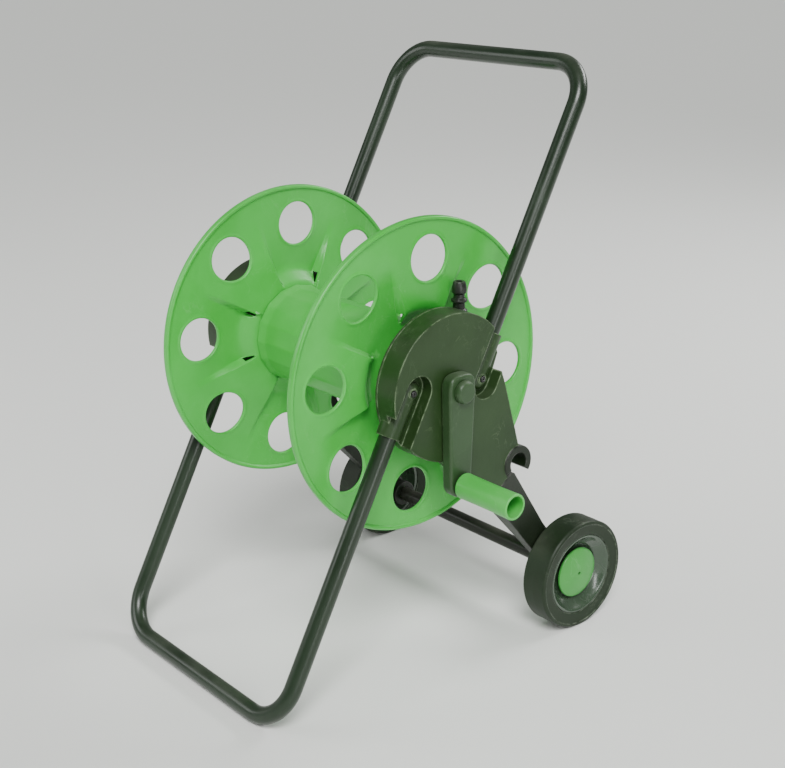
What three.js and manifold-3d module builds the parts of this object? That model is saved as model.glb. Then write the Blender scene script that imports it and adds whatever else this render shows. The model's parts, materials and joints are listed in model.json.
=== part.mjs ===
import * as THREE from 'three';
import { mergeVertices } from 'three/addons/utils/BufferGeometryUtils.js';
import Module from 'manifold-3d';

// Garden hose reel cart: two bent steel hoops are clamped by a pair of plastic side brackets that
// carry a hand-cranked reel between them and a wheel axle below. Millimetres. X runs along the reel
// axis towards the crank, Y runs rearwards towards the wheels, Z is up. Inside this file the reel
// axis is the origin; the finished cart is moved so that the middle of its footprint is the origin.

const wasm = await Module();
wasm.setup();

// Reel
const REEL_RADIUS = 170;
const FLANGE_X = 113.5;
const FLANGE_THICKNESS = 3;
const FLANGE_DISH = 12;
const RIM_HALF_WIDTH = 4;
const RIM_DEPTH = 5;
const FLANGE_HOLES = 8;
const HOLE_CIRCLE_RADIUS = 126;
const HOLE_RADIUS = 24.5;
const FIRST_HOLE_ANGLE = THREE.MathUtils.degToRad(84.5);
const HUB_PLATE_RADIUS = 57;
const DRUM_RADIUS = 54;
const DRUM_HALF_LENGTH = 98.7;
const DRUM_SIDES = 16;
const WALL = 3;
const GAP = 0.3;
const FAR = 400; // longer than any piece, for cutting tools

// Hoops: bent steel tube
const TUBE_RADIUS = 9.5;
const TUBE_BORE_RADIUS = 8.3;
const TUBE_SIDES = 16;
const HOOP_HALF_WIDTH = 147;
const HOOP_TILT = THREE.MathUtils.degToRad(27.5);
const HOOP_BEND_RADIUS = 45;
const TUBE_OFFSET = 44;
const HANDLE_TOP = 372;
const STAND_BOTTOM = -387;
const TUBE_END = 12;
const TUBE_SCREW = 20;

// Side brackets
const BRACKET_RADIUS = 79;
const BRACKET_INNER_X = 140;
const BRACKET_OUTER_X = 167;
const COVER_INNER_X = 136.4;
const SLEEVE_RADIUS = 12.7;
const SLOT_FLOOR_X = 153;
const SLOT_HALF_WIDTH = 17;
const STRUT_OUTER_X = 152;
const BOSS_INNER_X = 128;
const BOSS_RADIUS = 16;
const STRUT_TOP_HALF_WIDTH = 20;
const STRUT_END_HALF_WIDTH = 13;
const STRUT_KINK_FROM_AXLE = 70;
const BUSH_RADIUS = 15;
const BUSH_WALL = 5;
const COVER_SCREW_BOSS_RADIUS = 5;
const CROSS_TUBE_SOCKET = 12;

// Wheels and axle
const WHEEL_RADIUS = 66;
const WHEEL_SIDES = 24;
const WHEEL_INNER_X = 153;
const WHEEL_OUTER_X = 187;
const RIM_RADIUS = 48;
const AXLE_RADIUS = 4;
const CROSS_TUBE_RADIUS = 9;
const AXLE_Y = 192;

// Crank and water path
const SPINDLE_RADIUS = 11;
const CRANK_INNER_X = 169;
const CRANK_OUTER_X = 182;
const CRANK_LENGTH = 102;
const GRIP_RADIUS = 14;
const GRIP_START_X = 183.5;
const GRIP_END_X = 260;
const INLET_X = 127;
const INLET_Y = 44;
const INLET_TOP = 60;
const OUTLET_X = 66;
const SCREW_RADIUS = 1.5;

const alongTube = { y: Math.sin(HOOP_TILT), z: Math.cos(HOOP_TILT) };
const standFoot = onHoopLine(-TUBE_OFFSET, STAND_BOTTOM);
const footDrop = TUBE_RADIUS * Math.cos(Math.PI / TUBE_SIDES);
const wheelDrop = WHEEL_RADIUS * Math.cos(Math.PI / WHEEL_SIDES);
const FLOOR_Z = standFoot.z - footDrop;
const AXLE_Z = FLOOR_Z + wheelDrop;

const finish = (color, roughness, metalness = 0) =>
  new THREE.MeshStandardMaterial({ color, roughness, metalness });
const REEL_GREEN = 0x5cc070;
const OLIVE = 0x3c4a38;
const TUBE_DARK = 0x1d2a22;
const BLACK = 0x16201a;
const STEEL = 0x9aa0a0;

// A point on a tube's centre line, measured along it from the foot of the perpendicular dropped
// from the reel axis. The offset is rearwards for the handle and forwards for the stand.
function onHoopLine(offset, along) {
  return {
    y: offset * Math.cos(HOOP_TILT) + along * Math.sin(HOOP_TILT),
    z: -offset * Math.sin(HOOP_TILT) + along * Math.cos(HOOP_TILT),
  };
}

function toSolid(geometry) {
  const bare = geometry.clone();
  bare.deleteAttribute('normal');
  bare.deleteAttribute('uv');
  const merged = mergeVertices(bare, 1e-4);
  const vertProperties = new Float32Array(merged.attributes.position.array);
  const triVerts = new Uint32Array(merged.index.array);
  return new wasm.Manifold(new wasm.Mesh({ numProp: 3, vertProperties, triVerts }));
}

function toGeometry(solid) {
  const mesh = solid.getMesh();
  const geometry = new THREE.BufferGeometry();
  geometry.setAttribute('position', new THREE.BufferAttribute(mesh.vertProperties, 3));
  geometry.setIndex(new THREE.BufferAttribute(mesh.triVerts, 1));
  return geometry;
}

const joined = (...solids) => solids.reduce((sum, next) => sum.add(next));
const cut = (solid, ...tools) => tools.reduce((rest, tool) => rest.subtract(tool), solid);

// Y-axis shapes are laid along X, and a flat outline drawn in (y, z) is extruded along X.
const UPRIGHT = new THREE.Matrix4().makeBasis(
  new THREE.Vector3(0, 1, 0), new THREE.Vector3(0, 0, 1), new THREE.Vector3(1, 0, 0));

function rod(radius, fromX, toX, y = 0, z = 0, sides = 20) {
  const geometry = new THREE.CylinderGeometry(radius, radius, toX - fromX, sides);
  geometry.rotateZ(-Math.PI / 2);
  geometry.rotateX(Math.PI / sides);
  geometry.translate((fromX + toX) / 2, y, z);
  return geometry;
}

function turned(profile, sides = 20, y = 0, z = 0) {
  const points = profile.map(([radius, x]) => new THREE.Vector2(radius, x));
  const geometry = new THREE.LatheGeometry(points, sides);
  geometry.rotateZ(-Math.PI / 2);
  geometry.rotateX(Math.PI / sides);
  geometry.translate(0, y, z);
  return geometry;
}

function slab(shape, fromX, toX) {
  const geometry = new THREE.ExtrudeGeometry(shape,
    { depth: toX - fromX, bevelEnabled: false, curveSegments: 7 });
  geometry.applyMatrix4(UPRIGHT);
  geometry.translate(fromX, 0, 0);
  return geometry;
}

const polygon = (points) => new THREE.Shape(points.map(([y, z]) => new THREE.Vector2(y, z)));

// A convex outline moved inwards by a wall's thickness, corner by corner.
function inset(points, distance) {
  return points.map((corner, i) => {
    const before = points[(i + points.length - 1) % points.length];
    const after = points[(i + 1) % points.length];
    const a = new THREE.Vector2(corner[0] - before[0], corner[1] - before[1]).normalize();
    const b = new THREE.Vector2(after[0] - corner[0], after[1] - corner[1]).normalize();
    const reach = distance / (1 + a.dot(b));
    return [corner[0] - reach * (a.y + b.y), corner[1] + reach * (a.x + b.x)];
  });
}

function mirroredX(geometry) {
  const copy = geometry.clone().scale(-1, 1, 1);
  const index = copy.index ?? new THREE.BufferAttribute(
    Uint32Array.from({ length: copy.attributes.position.count }, (_, i) => i), 1);
  for (let i = 0; i < index.count; i += 3) {
    const first = index.getX(i);
    index.setX(i, index.getX(i + 1));
    index.setX(i + 1, first);
  }
  copy.setIndex(index);
  return copy;
}

const cart = new THREE.Group();
cart.name = 'hose_reel_cart';

function addPiece(name, shape, material) {
  const geometry = shape.getMesh ? toGeometry(shape) : shape;
  geometry.computeVertexNormals();
  const mesh = new THREE.Mesh(geometry, material);
  mesh.name = name;
  cart.add(mesh);
}

// The same piece on both sides of the cart, the far one its mirror image.
function addPair(name, shape, material) {
  const geometry = shape.getMesh ? toGeometry(shape) : shape;
  addPiece(`crank_side_${name}`, geometry, material);
  addPiece(`far_side_${name}`, mirroredX(geometry), material);
}

// ---- Hoops -------------------------------------------------------------------------------------

// The tube's centre line is straight between stations, so only the bends hold several of them.
class HoopRoute extends THREE.Curve {
  constructor(stations) {
    super();
    this.stations = stations;
  }

  station(u) {
    return this.stations[Math.round(u * (this.stations.length - 1))];
  }

  getPointAt(u) {
    return this.station(u).point.clone();
  }

  getTangentAt(u) {
    return this.station(u).tangent.clone();
  }
}

function hoopStations(offset, openEnd, closedEnd) {
  const outward = Math.sign(closedEnd - openEnd);
  const place = (x, along) => {
    const { y, z } = onHoopLine(offset, along);
    return new THREE.Vector3(x, y, z);
  };
  const direction = (x, along) =>
    new THREE.Vector3(x, along * alongTube.y, along * alongTube.z).normalize();
  const bendSteps = 4;
  const stations = [{ point: place(HOOP_HALF_WIDTH, openEnd), tangent: direction(0, outward) }];
  for (const side of [1, -1]) {
    for (let i = 0; i <= bendSteps; i += 1) {
      const turn = (i / bendSteps) * Math.PI / 2;
      const angle = side > 0 ? turn : Math.PI / 2 - turn;
      const x = side * (HOOP_HALF_WIDTH - HOOP_BEND_RADIUS * (1 - Math.cos(angle)));
      const along = closedEnd - outward * HOOP_BEND_RADIUS * (1 - Math.sin(angle));
      stations.push({
        point: place(x, along),
        tangent: direction(-Math.sin(angle), side * outward * Math.cos(angle)),
      });
    }
  }
  stations.push({ point: place(-HOOP_HALF_WIDTH, openEnd), tangent: direction(0, -outward) });
  return stations;
}

// The section is turned so that one of its flats faces the ground along the cross bar.
function tubeSection(radius, sides, turn) {
  return Array.from({ length: sides }, (_, i) => {
    const angle = turn + ((i + 0.5) / sides) * 2 * Math.PI;
    return new THREE.Vector2(radius * Math.cos(angle), radius * Math.sin(angle));
  });
}

function hoop(offset, openEnd, closedEnd, screwAlong) {
  const stations = hoopStations(offset, openEnd, closedEnd);
  const turn = -HOOP_TILT;
  const section = new THREE.Shape(tubeSection(TUBE_RADIUS, TUBE_SIDES, turn));
  section.holes.push(new THREE.Path(tubeSection(TUBE_BORE_RADIUS, TUBE_SIDES / 2, turn).reverse()));
  const tube = new THREE.ExtrudeGeometry(section,
    { steps: stations.length - 1, extrudePath: new HoopRoute(stations), bevelEnabled: false });
  const { y, z } = onHoopLine(offset, screwAlong);
  const drill = rod(SCREW_RADIUS + 2 * GAP, -FAR, FAR, y, z, 8);
  return cut(toSolid(tube), toSolid(drill));
}

addPiece('handle_hoop', hoop(TUBE_OFFSET, TUBE_END, HANDLE_TOP, TUBE_SCREW),
  finish(TUBE_DARK, 0.35, 0.3));
addPiece('stand_hoop', hoop(-TUBE_OFFSET, -TUBE_END, STAND_BOTTOM, -TUBE_SCREW),
  finish(TUBE_DARK, 0.35, 0.3));

// ---- Side brackets -----------------------------------------------------------------------------

// A rod lying along a hoop's tube, from one distance along it to another.
function tubeRod(radius, offset, from, to, sides = 16) {
  const geometry = new THREE.CylinderGeometry(radius, radius, to - from, sides);
  geometry.rotateY(Math.PI / sides);
  geometry.rotateX(Math.PI / 2 - HOOP_TILT);
  const middle = onHoopLine(offset, (from + to) / 2);
  return toSolid(geometry.translate(HOOP_HALF_WIDTH, middle.y, middle.z));
}

// The round-ended recess in which a tube and its sleeve lie, open at the bracket's edge.
function tubeSlot(offset, halfWidth, fromX) {
  const shape = new THREE.Shape();
  shape.moveTo(halfWidth, BRACKET_RADIUS * 2);
  shape.lineTo(-halfWidth, BRACKET_RADIUS * 2);
  shape.lineTo(-halfWidth, SLOT_HALF_WIDTH);
  shape.absarc(0, SLOT_HALF_WIDTH, halfWidth, Math.PI, 2 * Math.PI, false);
  const geometry = slab(shape, fromX, BRACKET_OUTER_X + WALL);
  if (offset < 0) geometry.rotateX(Math.PI);
  geometry.rotateX(-HOOP_TILT);
  const foot = onHoopLine(offset, 0);
  return toSolid(geometry.translate(0, foot.y, foot.z));
}

// The leg below the disc: an upper part as thick as the disc, then a strut that thins down to the
// kink where it passes behind the wheel, and runs on at that thickness to the axle.
const LEG_OUTLINE = [[-8, -78.5], [60.7, -141], [92, -116], [99, -88], [77.5, -14]];
const strutStart = new THREE.Vector2(76, -128);
const axlePoint = new THREE.Vector2(AXLE_Y, AXLE_Z);
const strutAxis = axlePoint.clone().sub(strutStart);
const kinkShare = 1 - STRUT_KINK_FROM_AXLE / strutAxis.length();

function strutOutline(fromShare, toShare) {
  const across = new THREE.Vector2(-strutAxis.y, strutAxis.x).normalize();
  const corner = (share, side) => {
    const reach = side * THREE.MathUtils.lerp(STRUT_TOP_HALF_WIDTH, STRUT_END_HALF_WIDTH, share);
    const point = strutStart.clone().addScaledVector(strutAxis, share).addScaledVector(across, reach);
    return [point.x, point.y];
  };
  return [corner(fromShare, -1), corner(toShare, -1), corner(toShare, 1), corner(fromShare, 1)];
}

function taperedStrut(points, fromX, toX) {
  const geometry = slab(polygon(points), fromX, toX);
  const position = geometry.attributes.position;
  for (let i = 0; i < position.count; i += 1) {
    if (position.getX(i) < fromX + GAP) continue;
    const reach = new THREE.Vector2(position.getY(i), position.getZ(i)).sub(strutStart).dot(strutAxis);
    const share = reach / strutAxis.lengthSq() / kinkShare;
    position.setX(i, THREE.MathUtils.lerp(toX, toX - BRACKET_OUTER_X + STRUT_OUTER_X, share));
  }
  return toSolid(geometry);
}

function strut(fromX, wall) {
  const upper = inset(strutOutline(0, kinkShare), wall);
  const lower = inset(strutOutline(kinkShare, 1), wall);
  return joined(taperedStrut(upper, fromX, BRACKET_OUTER_X - wall),
    toSolid(slab(polygon(lower), fromX, STRUT_OUTER_X - wall)));
}

// The leg's rear edge curls round a notch as a hook that keeps the end of the hose.
const HOOK_CENTRE = [98, -108];
const HOOK_RADIUS = 20;
const HOOK_NOTCH_RADIUS = 12;
const HOOK_MOUTH = [-85, -40]; // degrees from +Y towards +Z

const hookRing = () =>
  toSolid(rod(HOOK_RADIUS, BRACKET_INNER_X, BRACKET_OUTER_X - WALL, ...HOOK_CENTRE));

function hookNotch() {
  const reach = HOOK_RADIUS + HOOK_NOTCH_RADIUS;
  const mouth = HOOK_MOUTH.map((degrees) => {
    const angle = THREE.MathUtils.degToRad(degrees);
    return [HOOK_CENTRE[0] + reach * Math.cos(angle), HOOK_CENTRE[1] + reach * Math.sin(angle)];
  });
  return joined(
    toSolid(rod(HOOK_NOTCH_RADIUS, COVER_INNER_X - 1, BRACKET_OUTER_X + 1, ...HOOK_CENTRE)),
    toSolid(slab(polygon([HOOK_CENTRE, ...mouth]), COVER_INNER_X - 1, BRACKET_OUTER_X + 1)));
}

const coverScrewPlaces = [[4, 64], [-30, -62], [60, -100], [134, -197]];

function bracketShell() {
  const outer = joined(
    toSolid(rod(BRACKET_RADIUS, BRACKET_INNER_X, BRACKET_OUTER_X, 0, 0, 36)),
    toSolid(slab(polygon(LEG_OUTLINE), BRACKET_INNER_X, BRACKET_OUTER_X)),
    strut(BRACKET_INNER_X, 0),
    toSolid(rod(BOSS_RADIUS, BOSS_INNER_X, STRUT_OUTER_X, AXLE_Y, AXLE_Z)));
  const hollow = joined(
    toSolid(rod(BRACKET_RADIUS - WALL, BRACKET_INNER_X - 1, BRACKET_OUTER_X - WALL, 0, 0, 36)),
    toSolid(slab(polygon(inset(LEG_OUTLINE, WALL)), BRACKET_INNER_X - 1, BRACKET_OUTER_X - WALL)),
    strut(BRACKET_INNER_X - 1, WALL));
  const kept = cut(hollow,
    tubeSlot(TUBE_OFFSET, SLOT_HALF_WIDTH + WALL, SLOT_FLOOR_X - WALL),
    tubeSlot(-TUBE_OFFSET, SLOT_HALF_WIDTH + WALL, SLOT_FLOOR_X - WALL),
    toSolid(rod(BOSS_RADIUS, BOSS_INNER_X - 1, BRACKET_OUTER_X, AXLE_Y, AXLE_Z)),
    toSolid(rod(BUSH_RADIUS + BUSH_WALL, BRACKET_INNER_X - 2, BRACKET_OUTER_X)),
    ...coverScrewPlaces.map(([y, z]) =>
      toSolid(rod(COVER_SCREW_BOSS_RADIUS, BRACKET_INNER_X - 2, BRACKET_OUTER_X, y, z, 8))));
  const shell = cut(outer, kept,
    tubeSlot(TUBE_OFFSET, SLOT_HALF_WIDTH, SLOT_FLOOR_X),
    tubeSlot(-TUBE_OFFSET, SLOT_HALF_WIDTH, SLOT_FLOOR_X));
  return cut(joined(shell, outerSleeve(1), outerSleeve(-1), hookRing()), hookNotch(), ...bracketHoles());
}

// Half-round sleeves over the ends of the tubes: the outer halves are part of the bracket.
const sleeveEnd = TUBE_END - 4;
const sleeveReach = 70;

function sleeve(side) {
  const [from, to] = side > 0 ? [sleeveEnd, sleeveReach] : [-sleeveReach, -sleeveEnd];
  return tubeRod(SLEEVE_RADIUS, side * TUBE_OFFSET, from, to);
}

const outerSleeve = (side) => cut(sleeve(side), toSolid(rod(FAR, 0, BRACKET_INNER_X)));

function bracketHoles() {
  return [
    tubeRod(TUBE_RADIUS + GAP, TUBE_OFFSET, TUBE_END - GAP, FAR),
    tubeRod(TUBE_RADIUS + GAP, -TUBE_OFFSET, -FAR, -TUBE_END + GAP),
    toSolid(rod(BUSH_RADIUS + GAP, 0, BRACKET_OUTER_X + 1)),
    toSolid(rod(AXLE_RADIUS + GAP, BOSS_INNER_X - 1, BRACKET_OUTER_X, AXLE_Y, AXLE_Z, 16)),
    toSolid(rod(CROSS_TUBE_RADIUS + GAP, BOSS_INNER_X - 1, BOSS_INNER_X + CROSS_TUBE_SOCKET, AXLE_Y, AXLE_Z,
      16)),
    ...tubeScrewPlaces().map(({ y, z }) =>
      toSolid(rod(SCREW_RADIUS + GAP, HOOP_HALF_WIDTH, BRACKET_OUTER_X, y, z, 8))),
    ...coverScrewPlaces.map(([y, z]) =>
      toSolid(rod(SCREW_RADIUS + GAP, 0, BRACKET_INNER_X + 9, y, z, 8))),
  ];
}

const tubeScrewPlaces = () =>
  [onHoopLine(TUBE_OFFSET, TUBE_SCREW), onHoopLine(-TUBE_OFFSET, -TUBE_SCREW)];

// The plate that closes the bracket towards the reel and holds the inner halves of the sleeves.
function bracketCover() {
  const topX = BRACKET_INNER_X - GAP;
  const plate = joined(
    toSolid(rod(BRACKET_RADIUS, COVER_INNER_X, topX, 0, 0, 36)),
    toSolid(slab(polygon(LEG_OUTLINE), COVER_INNER_X, topX)),
    toSolid(slab(polygon(strutOutline(0, 1)), COVER_INNER_X, topX)));
  const beyond = toSolid(rod(FAR, topX, FAR));
  const shaped = joined(plate, cut(sleeve(1), beyond), cut(sleeve(-1), beyond));
  return cut(shaped, hookNotch(), ...bracketHoles(),
    toSolid(rod(BOSS_RADIUS + GAP, 0, BRACKET_INNER_X + 1, AXLE_Y, AXLE_Z)));
}

addPair('bracket', bracketShell(), finish(OLIVE, 0.6));
addPair('bracket_cover', bracketCover(), finish(OLIVE, 0.6));

// A pan-head screw whose head sits at one x and whose shank runs towards +X or -X.
function screw(headX, length, toward, y, z) {
  const [headRadius, headHeight] = [3.4, 2.2];
  const head = [[0, -headHeight], [headRadius - 0.8, -headHeight], [headRadius, -headHeight / 2],
    [headRadius, 0], [SCREW_RADIUS, 0], [SCREW_RADIUS, length], [0, length]];
  const geometry = turned(head, 8);
  if (toward < 0) geometry.rotateY(Math.PI);
  return geometry.translate(headX, y, z);
}

const sleeveTopX = HOOP_HALF_WIDTH + SLEEVE_RADIUS;
tubeScrewPlaces().forEach(({ y, z }, i) => {
  const name = `${['handle', 'stand'][i]}_tube_screw`;
  addPair(name, screw(sleeveTopX + GAP, 8, -1, y, z), finish(STEEL, 0.4, 1));
});
coverScrewPlaces.forEach(([y, z], i) => {
  addPair(`cover_screw_${i + 1}`, screw(COVER_INNER_X - GAP, 11, 1, y, z), finish(STEEL, 0.4, 1));
});

// ---- Axle and wheels ---------------------------------------------------------------------------

function crossTube() {
  const end = BOSS_INNER_X + CROSS_TUBE_SOCKET - GAP;
  const bore = CROSS_TUBE_RADIUS - 1.2;
  return turned([[bore, -end], [CROSS_TUBE_RADIUS, -end], [CROSS_TUBE_RADIUS, end], [bore, end],
    [bore, -end]], 20, AXLE_Y, AXLE_Z);
}

function wheelRim() {
  const hub = AXLE_RADIUS + GAP;
  return turned([[hub, WHEEL_INNER_X + 1], [13, WHEEL_INNER_X + 1], [13, 166], [26, 168],
    [42, 172], [44, WHEEL_INNER_X + 4], [RIM_RADIUS, WHEEL_INNER_X + 4], [RIM_RADIUS, WHEEL_OUTER_X - 3],
    [46, WHEEL_OUTER_X - 2], [34, 176], [31, 173], [13, 171], [hub, 171],
    [hub, WHEEL_INNER_X + 1]], WHEEL_SIDES, AXLE_Y, AXLE_Z);
}

function tyre() {
  const inner = RIM_RADIUS + GAP;
  const shoulder = 4;
  return turned([[inner, WHEEL_INNER_X + 3], [WHEEL_RADIUS - shoulder, WHEEL_INNER_X],
    [WHEEL_RADIUS, WHEEL_INNER_X + shoulder], [WHEEL_RADIUS, WHEEL_OUTER_X - shoulder],
    [WHEEL_RADIUS - shoulder, WHEEL_OUTER_X], [inner, WHEEL_OUTER_X - 2],
    [inner, WHEEL_INNER_X + 3]], WHEEL_SIDES, AXLE_Y, AXLE_Z);
}

// A domed disc that snaps into the wheel's bowl over the end of the axle.
function hubCap() {
  return turned([[2, 180], [23, 178.6], [27.5, 175.8], [30, 175.8], [30, 177.5], [24, 181],
    [2, 182.4], [2, 180]], 20, AXLE_Y, AXLE_Z);
}

const pushNut = () => turned([[AXLE_RADIUS + 0.1, 171.6], [8, 171.6], [8, 172.4],
  [5.5, 174], [AXLE_RADIUS + 0.1, 174], [AXLE_RADIUS + 0.1, 171.6]], 16, AXLE_Y, AXLE_Z);

const wheelWasher = () => turned([[AXLE_RADIUS + GAP, STRUT_OUTER_X + 0.1],
  [11, STRUT_OUTER_X + 0.1], [11, STRUT_OUTER_X + 0.8], [AXLE_RADIUS + GAP, STRUT_OUTER_X + 0.8],
  [AXLE_RADIUS + GAP, STRUT_OUTER_X + 0.1]], 16, AXLE_Y, AXLE_Z);

addPiece('cross_tube', crossTube(), finish(BLACK, 0.45, 0.3));
addPiece('axle_rod', rod(AXLE_RADIUS, -176, 176, AXLE_Y, AXLE_Z, 16), finish(STEEL, 0.3, 1));
addPair('wheel_washer', wheelWasher(), finish(STEEL, 0.4, 1));
addPair('wheel_rim', wheelRim(), finish(BLACK, 0.35));
addPair('tyre', tyre(), finish(BLACK, 0.7));
addPair('hub_cap', hubCap(), finish(REEL_GREEN, 0.4));
addPair('axle_push_nut', pushNut(), finish(STEEL, 0.4, 1));

// ---- Reel --------------------------------------------------------------------------------------

// How far a flange leans inwards from its rim's plane. Four sectors run flat to the hub and step
// down there; the four between them slope all the way, so a crease lies between every two holes.
function flangeDish(radius, angle) {
  const ramp = (from, to) => 1 - THREE.MathUtils.smoothstep(radius, from, to);
  const sector = Math.round((angle - FIRST_HOLE_ANGLE) / (2 * Math.PI / FLANGE_HOLES));
  const slopes = Math.abs(sector) % 2 === 1;
  return FLANGE_DISH * (slopes ? ramp(HUB_PLATE_RADIUS, 145) : ramp(HUB_PLATE_RADIUS, 75));
}

function flange() {
  const face = FLANGE_THICKNESS / 2;
  const stations = [18, HUB_PLATE_RADIUS, 66, 75, 105, 145, REEL_RADIUS - RIM_DEPTH];
  const profile = [
    ...stations.map((radius) => [radius, -face]),
    [REEL_RADIUS - RIM_DEPTH, -RIM_HALF_WIDTH], [REEL_RADIUS, -RIM_HALF_WIDTH],
    [REEL_RADIUS, RIM_HALF_WIDTH], [REEL_RADIUS - RIM_DEPTH, RIM_HALF_WIDTH],
    ...stations.map((radius) => [radius, face]).reverse(),
    [stations[0], -face],
  ];
  const geometry = turned(profile, 40);
  const position = geometry.attributes.position;
  for (let i = 0; i < position.count; i += 1) {
    const [y, z] = [position.getY(i), position.getZ(i)];
    const shift = FLANGE_X - flangeDish(Math.hypot(y, z), Math.atan2(z, y));
    position.setX(i, position.getX(i) + shift);
  }
  const holes = Array.from({ length: FLANGE_HOLES }, (_, i) => {
    const angle = FIRST_HOLE_ANGLE + i * 2 * Math.PI / FLANGE_HOLES;
    return toSolid(rod(HOLE_RADIUS, 80, 130,
      HOLE_CIRCLE_RADIUS * Math.cos(angle), HOLE_CIRCLE_RADIUS * Math.sin(angle), 16));
  });
  return cut(toSolid(geometry), ...holes);
}

// The drum's wall is faceted. A hole in it lets the hose reach the outlet inside.
function drum() {
  const bore = DRUM_RADIUS - WALL;
  const tube = turned([[bore, -DRUM_HALF_LENGTH], [DRUM_RADIUS, -DRUM_HALF_LENGTH],
    [DRUM_RADIUS, DRUM_HALF_LENGTH], [bore, DRUM_HALF_LENGTH], [bore, -DRUM_HALF_LENGTH]], DRUM_SIDES);
  const exit = new THREE.CylinderGeometry(13, 13, 40, 16);
  exit.rotateX(Math.PI / 2);
  exit.translate(OUTLET_X, 0, -DRUM_RADIUS);
  return cut(toSolid(tube), toSolid(exit));
}

addPair('flange', flange(), finish(REEL_GREEN, 0.45));
addPiece('drum', drum(), finish(REEL_GREEN, 0.45));

// ---- Spindles, bearings and water path ---------------------------------------------------------

const hubPlateX = FLANGE_X - FLANGE_DISH - FLANGE_THICKNESS / 2;
const discInnerX = hubPlateX - GAP - 3.2;
const spindleCollar = [[30, discInnerX], [30, hubPlateX - GAP], [17.6, hubPlateX - GAP],
  [17.6, 105], [SPINDLE_RADIUS, 106]];

// The hollow spindle turns with the reel. Water enters through the hole across it, between two
// seals, and leaves at its inner end. Its square outer end drives the crank.
function inletSpindle() {
  const grooveRadius = 9.6;
  const groove = (x) => [[SPINDLE_RADIUS, x - 1.3], [grooveRadius, x - 1.3],
    [grooveRadius, x + 1.3], [SPINDLE_RADIUS, x + 1.3]];
  const body = turned([[5, discInnerX], ...spindleCollar, ...groove(INLET_X - 4.5),
    ...groove(INLET_X + 4.5), [SPINDLE_RADIUS, BRACKET_OUTER_X + 1], [0, BRACKET_OUTER_X + 1],
    [0, INLET_X + 4], [5, INLET_X + 4], [5, discInnerX]], 16);
  const square = new THREE.BoxGeometry(12, 14, 14).translate(BRACKET_OUTER_X + 6, 0, 0);
  const port = new THREE.CylinderGeometry(2.4, 2.4, 40, 10).translate(INLET_X, 0, 0);
  const screwHole = rod(SCREW_RADIUS + GAP, 165, 182, 0, 0, 8);
  return cut(joined(toSolid(body), toSolid(square)), toSolid(port), toSolid(screwHole));
}

function plainSpindle() {
  const end = BRACKET_OUTER_X + 0.5;
  return cut(toSolid(turned([[0, discInnerX], ...spindleCollar, [SPINDLE_RADIUS, end], [0, end]], 16)),
    toSolid(rod(SCREW_RADIUS + GAP, end - 12, end + 1, 0, 0, 8)));
}

const bearingBush = () => turned([[SPINDLE_RADIUS + GAP, 134.6], [19, 134.6], [19, 136.1],
  [BUSH_RADIUS, 136.1], [BUSH_RADIUS, 166.4], [SPINDLE_RADIUS + GAP, 166.4],
  [SPINDLE_RADIUS + GAP, 134.6]], 16);

function sealRing(x) {
  const [ringRadius, sectionRadius, steps] = [10.95, 0.98, 6];
  const profile = Array.from({ length: steps + 1 }, (_, i) => {
    const angle = -Math.PI / 2 + (i % steps) * 2 * Math.PI / steps;
    return [ringRadius + sectionRadius * Math.cos(angle), x + sectionRadius * Math.sin(angle)];
  });
  return turned(profile, 16);
}

// A pipe that bends once, as a smooth sweep through straight, arc and straight.
function bentPipe(radius, start, corner, end, bend, sides = 10) {
  const path = new THREE.CurvePath();
  const into = corner.clone().sub(start).normalize();
  const out = end.clone().sub(corner).normalize();
  const before = corner.clone().addScaledVector(into, -bend);
  const after = corner.clone().addScaledVector(out, bend);
  path.add(new THREE.LineCurve3(start, before));
  path.add(new THREE.QuadraticBezierCurve3(before, corner, after));
  path.add(new THREE.LineCurve3(after, end));
  const section = new THREE.Shape(tubeSection(radius, sides, 0));
  return toSolid(new THREE.ExtrudeGeometry(section, { steps: 8, extrudePath: path, bevelEnabled: false }));
}

// The fixed half of the swivel: a ring round the spindle with an elbow that rises to the connector.
function inletElbow() {
  const ring = turned([[4, INLET_X - 7], [18, INLET_X - 7], [18, INLET_X + 7], [4, INLET_X + 7],
    [4, INLET_X - 7]], 20);
  const corner = new THREE.Vector3(INLET_X, INLET_Y, 0);
  const top = new THREE.Vector3(INLET_X, INLET_Y, INLET_TOP);
  const pipe = bentPipe(7, new THREE.Vector3(INLET_X, 6, 0), corner, top, 16);
  const above = top.clone().setZ(INLET_TOP + 2);
  const bore = bentPipe(4, new THREE.Vector3(INLET_X, 8, 0), corner, above, 16, 8);
  return cut(joined(toSolid(ring), pipe), toSolid(rod(SPINDLE_RADIUS + 1.3, 100, 150)), bore);
}

// The tap side of the water path: a stem with a collar and a grooved nose for a hose coupling.
function inletConnector() {
  const z = INLET_TOP + GAP;
  const profile = [[3.5, z], [9, z], [9, z + 7], [6.2, z + 9], [6.2, z + 15], [8.6, z + 16],
    [8.6, z + 19], [6, z + 20], [6, z + 24], [8, z + 26], [8, z + 32], [6.5, z + 37.5], [3.5, z + 37.5],
    [3.5, z]];
  const points = profile.map(([radius, height]) => new THREE.Vector2(radius, height));
  const geometry = new THREE.LatheGeometry(points, 16);
  return geometry.rotateX(Math.PI / 2).translate(INLET_X, INLET_Y, 0);
}

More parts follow.
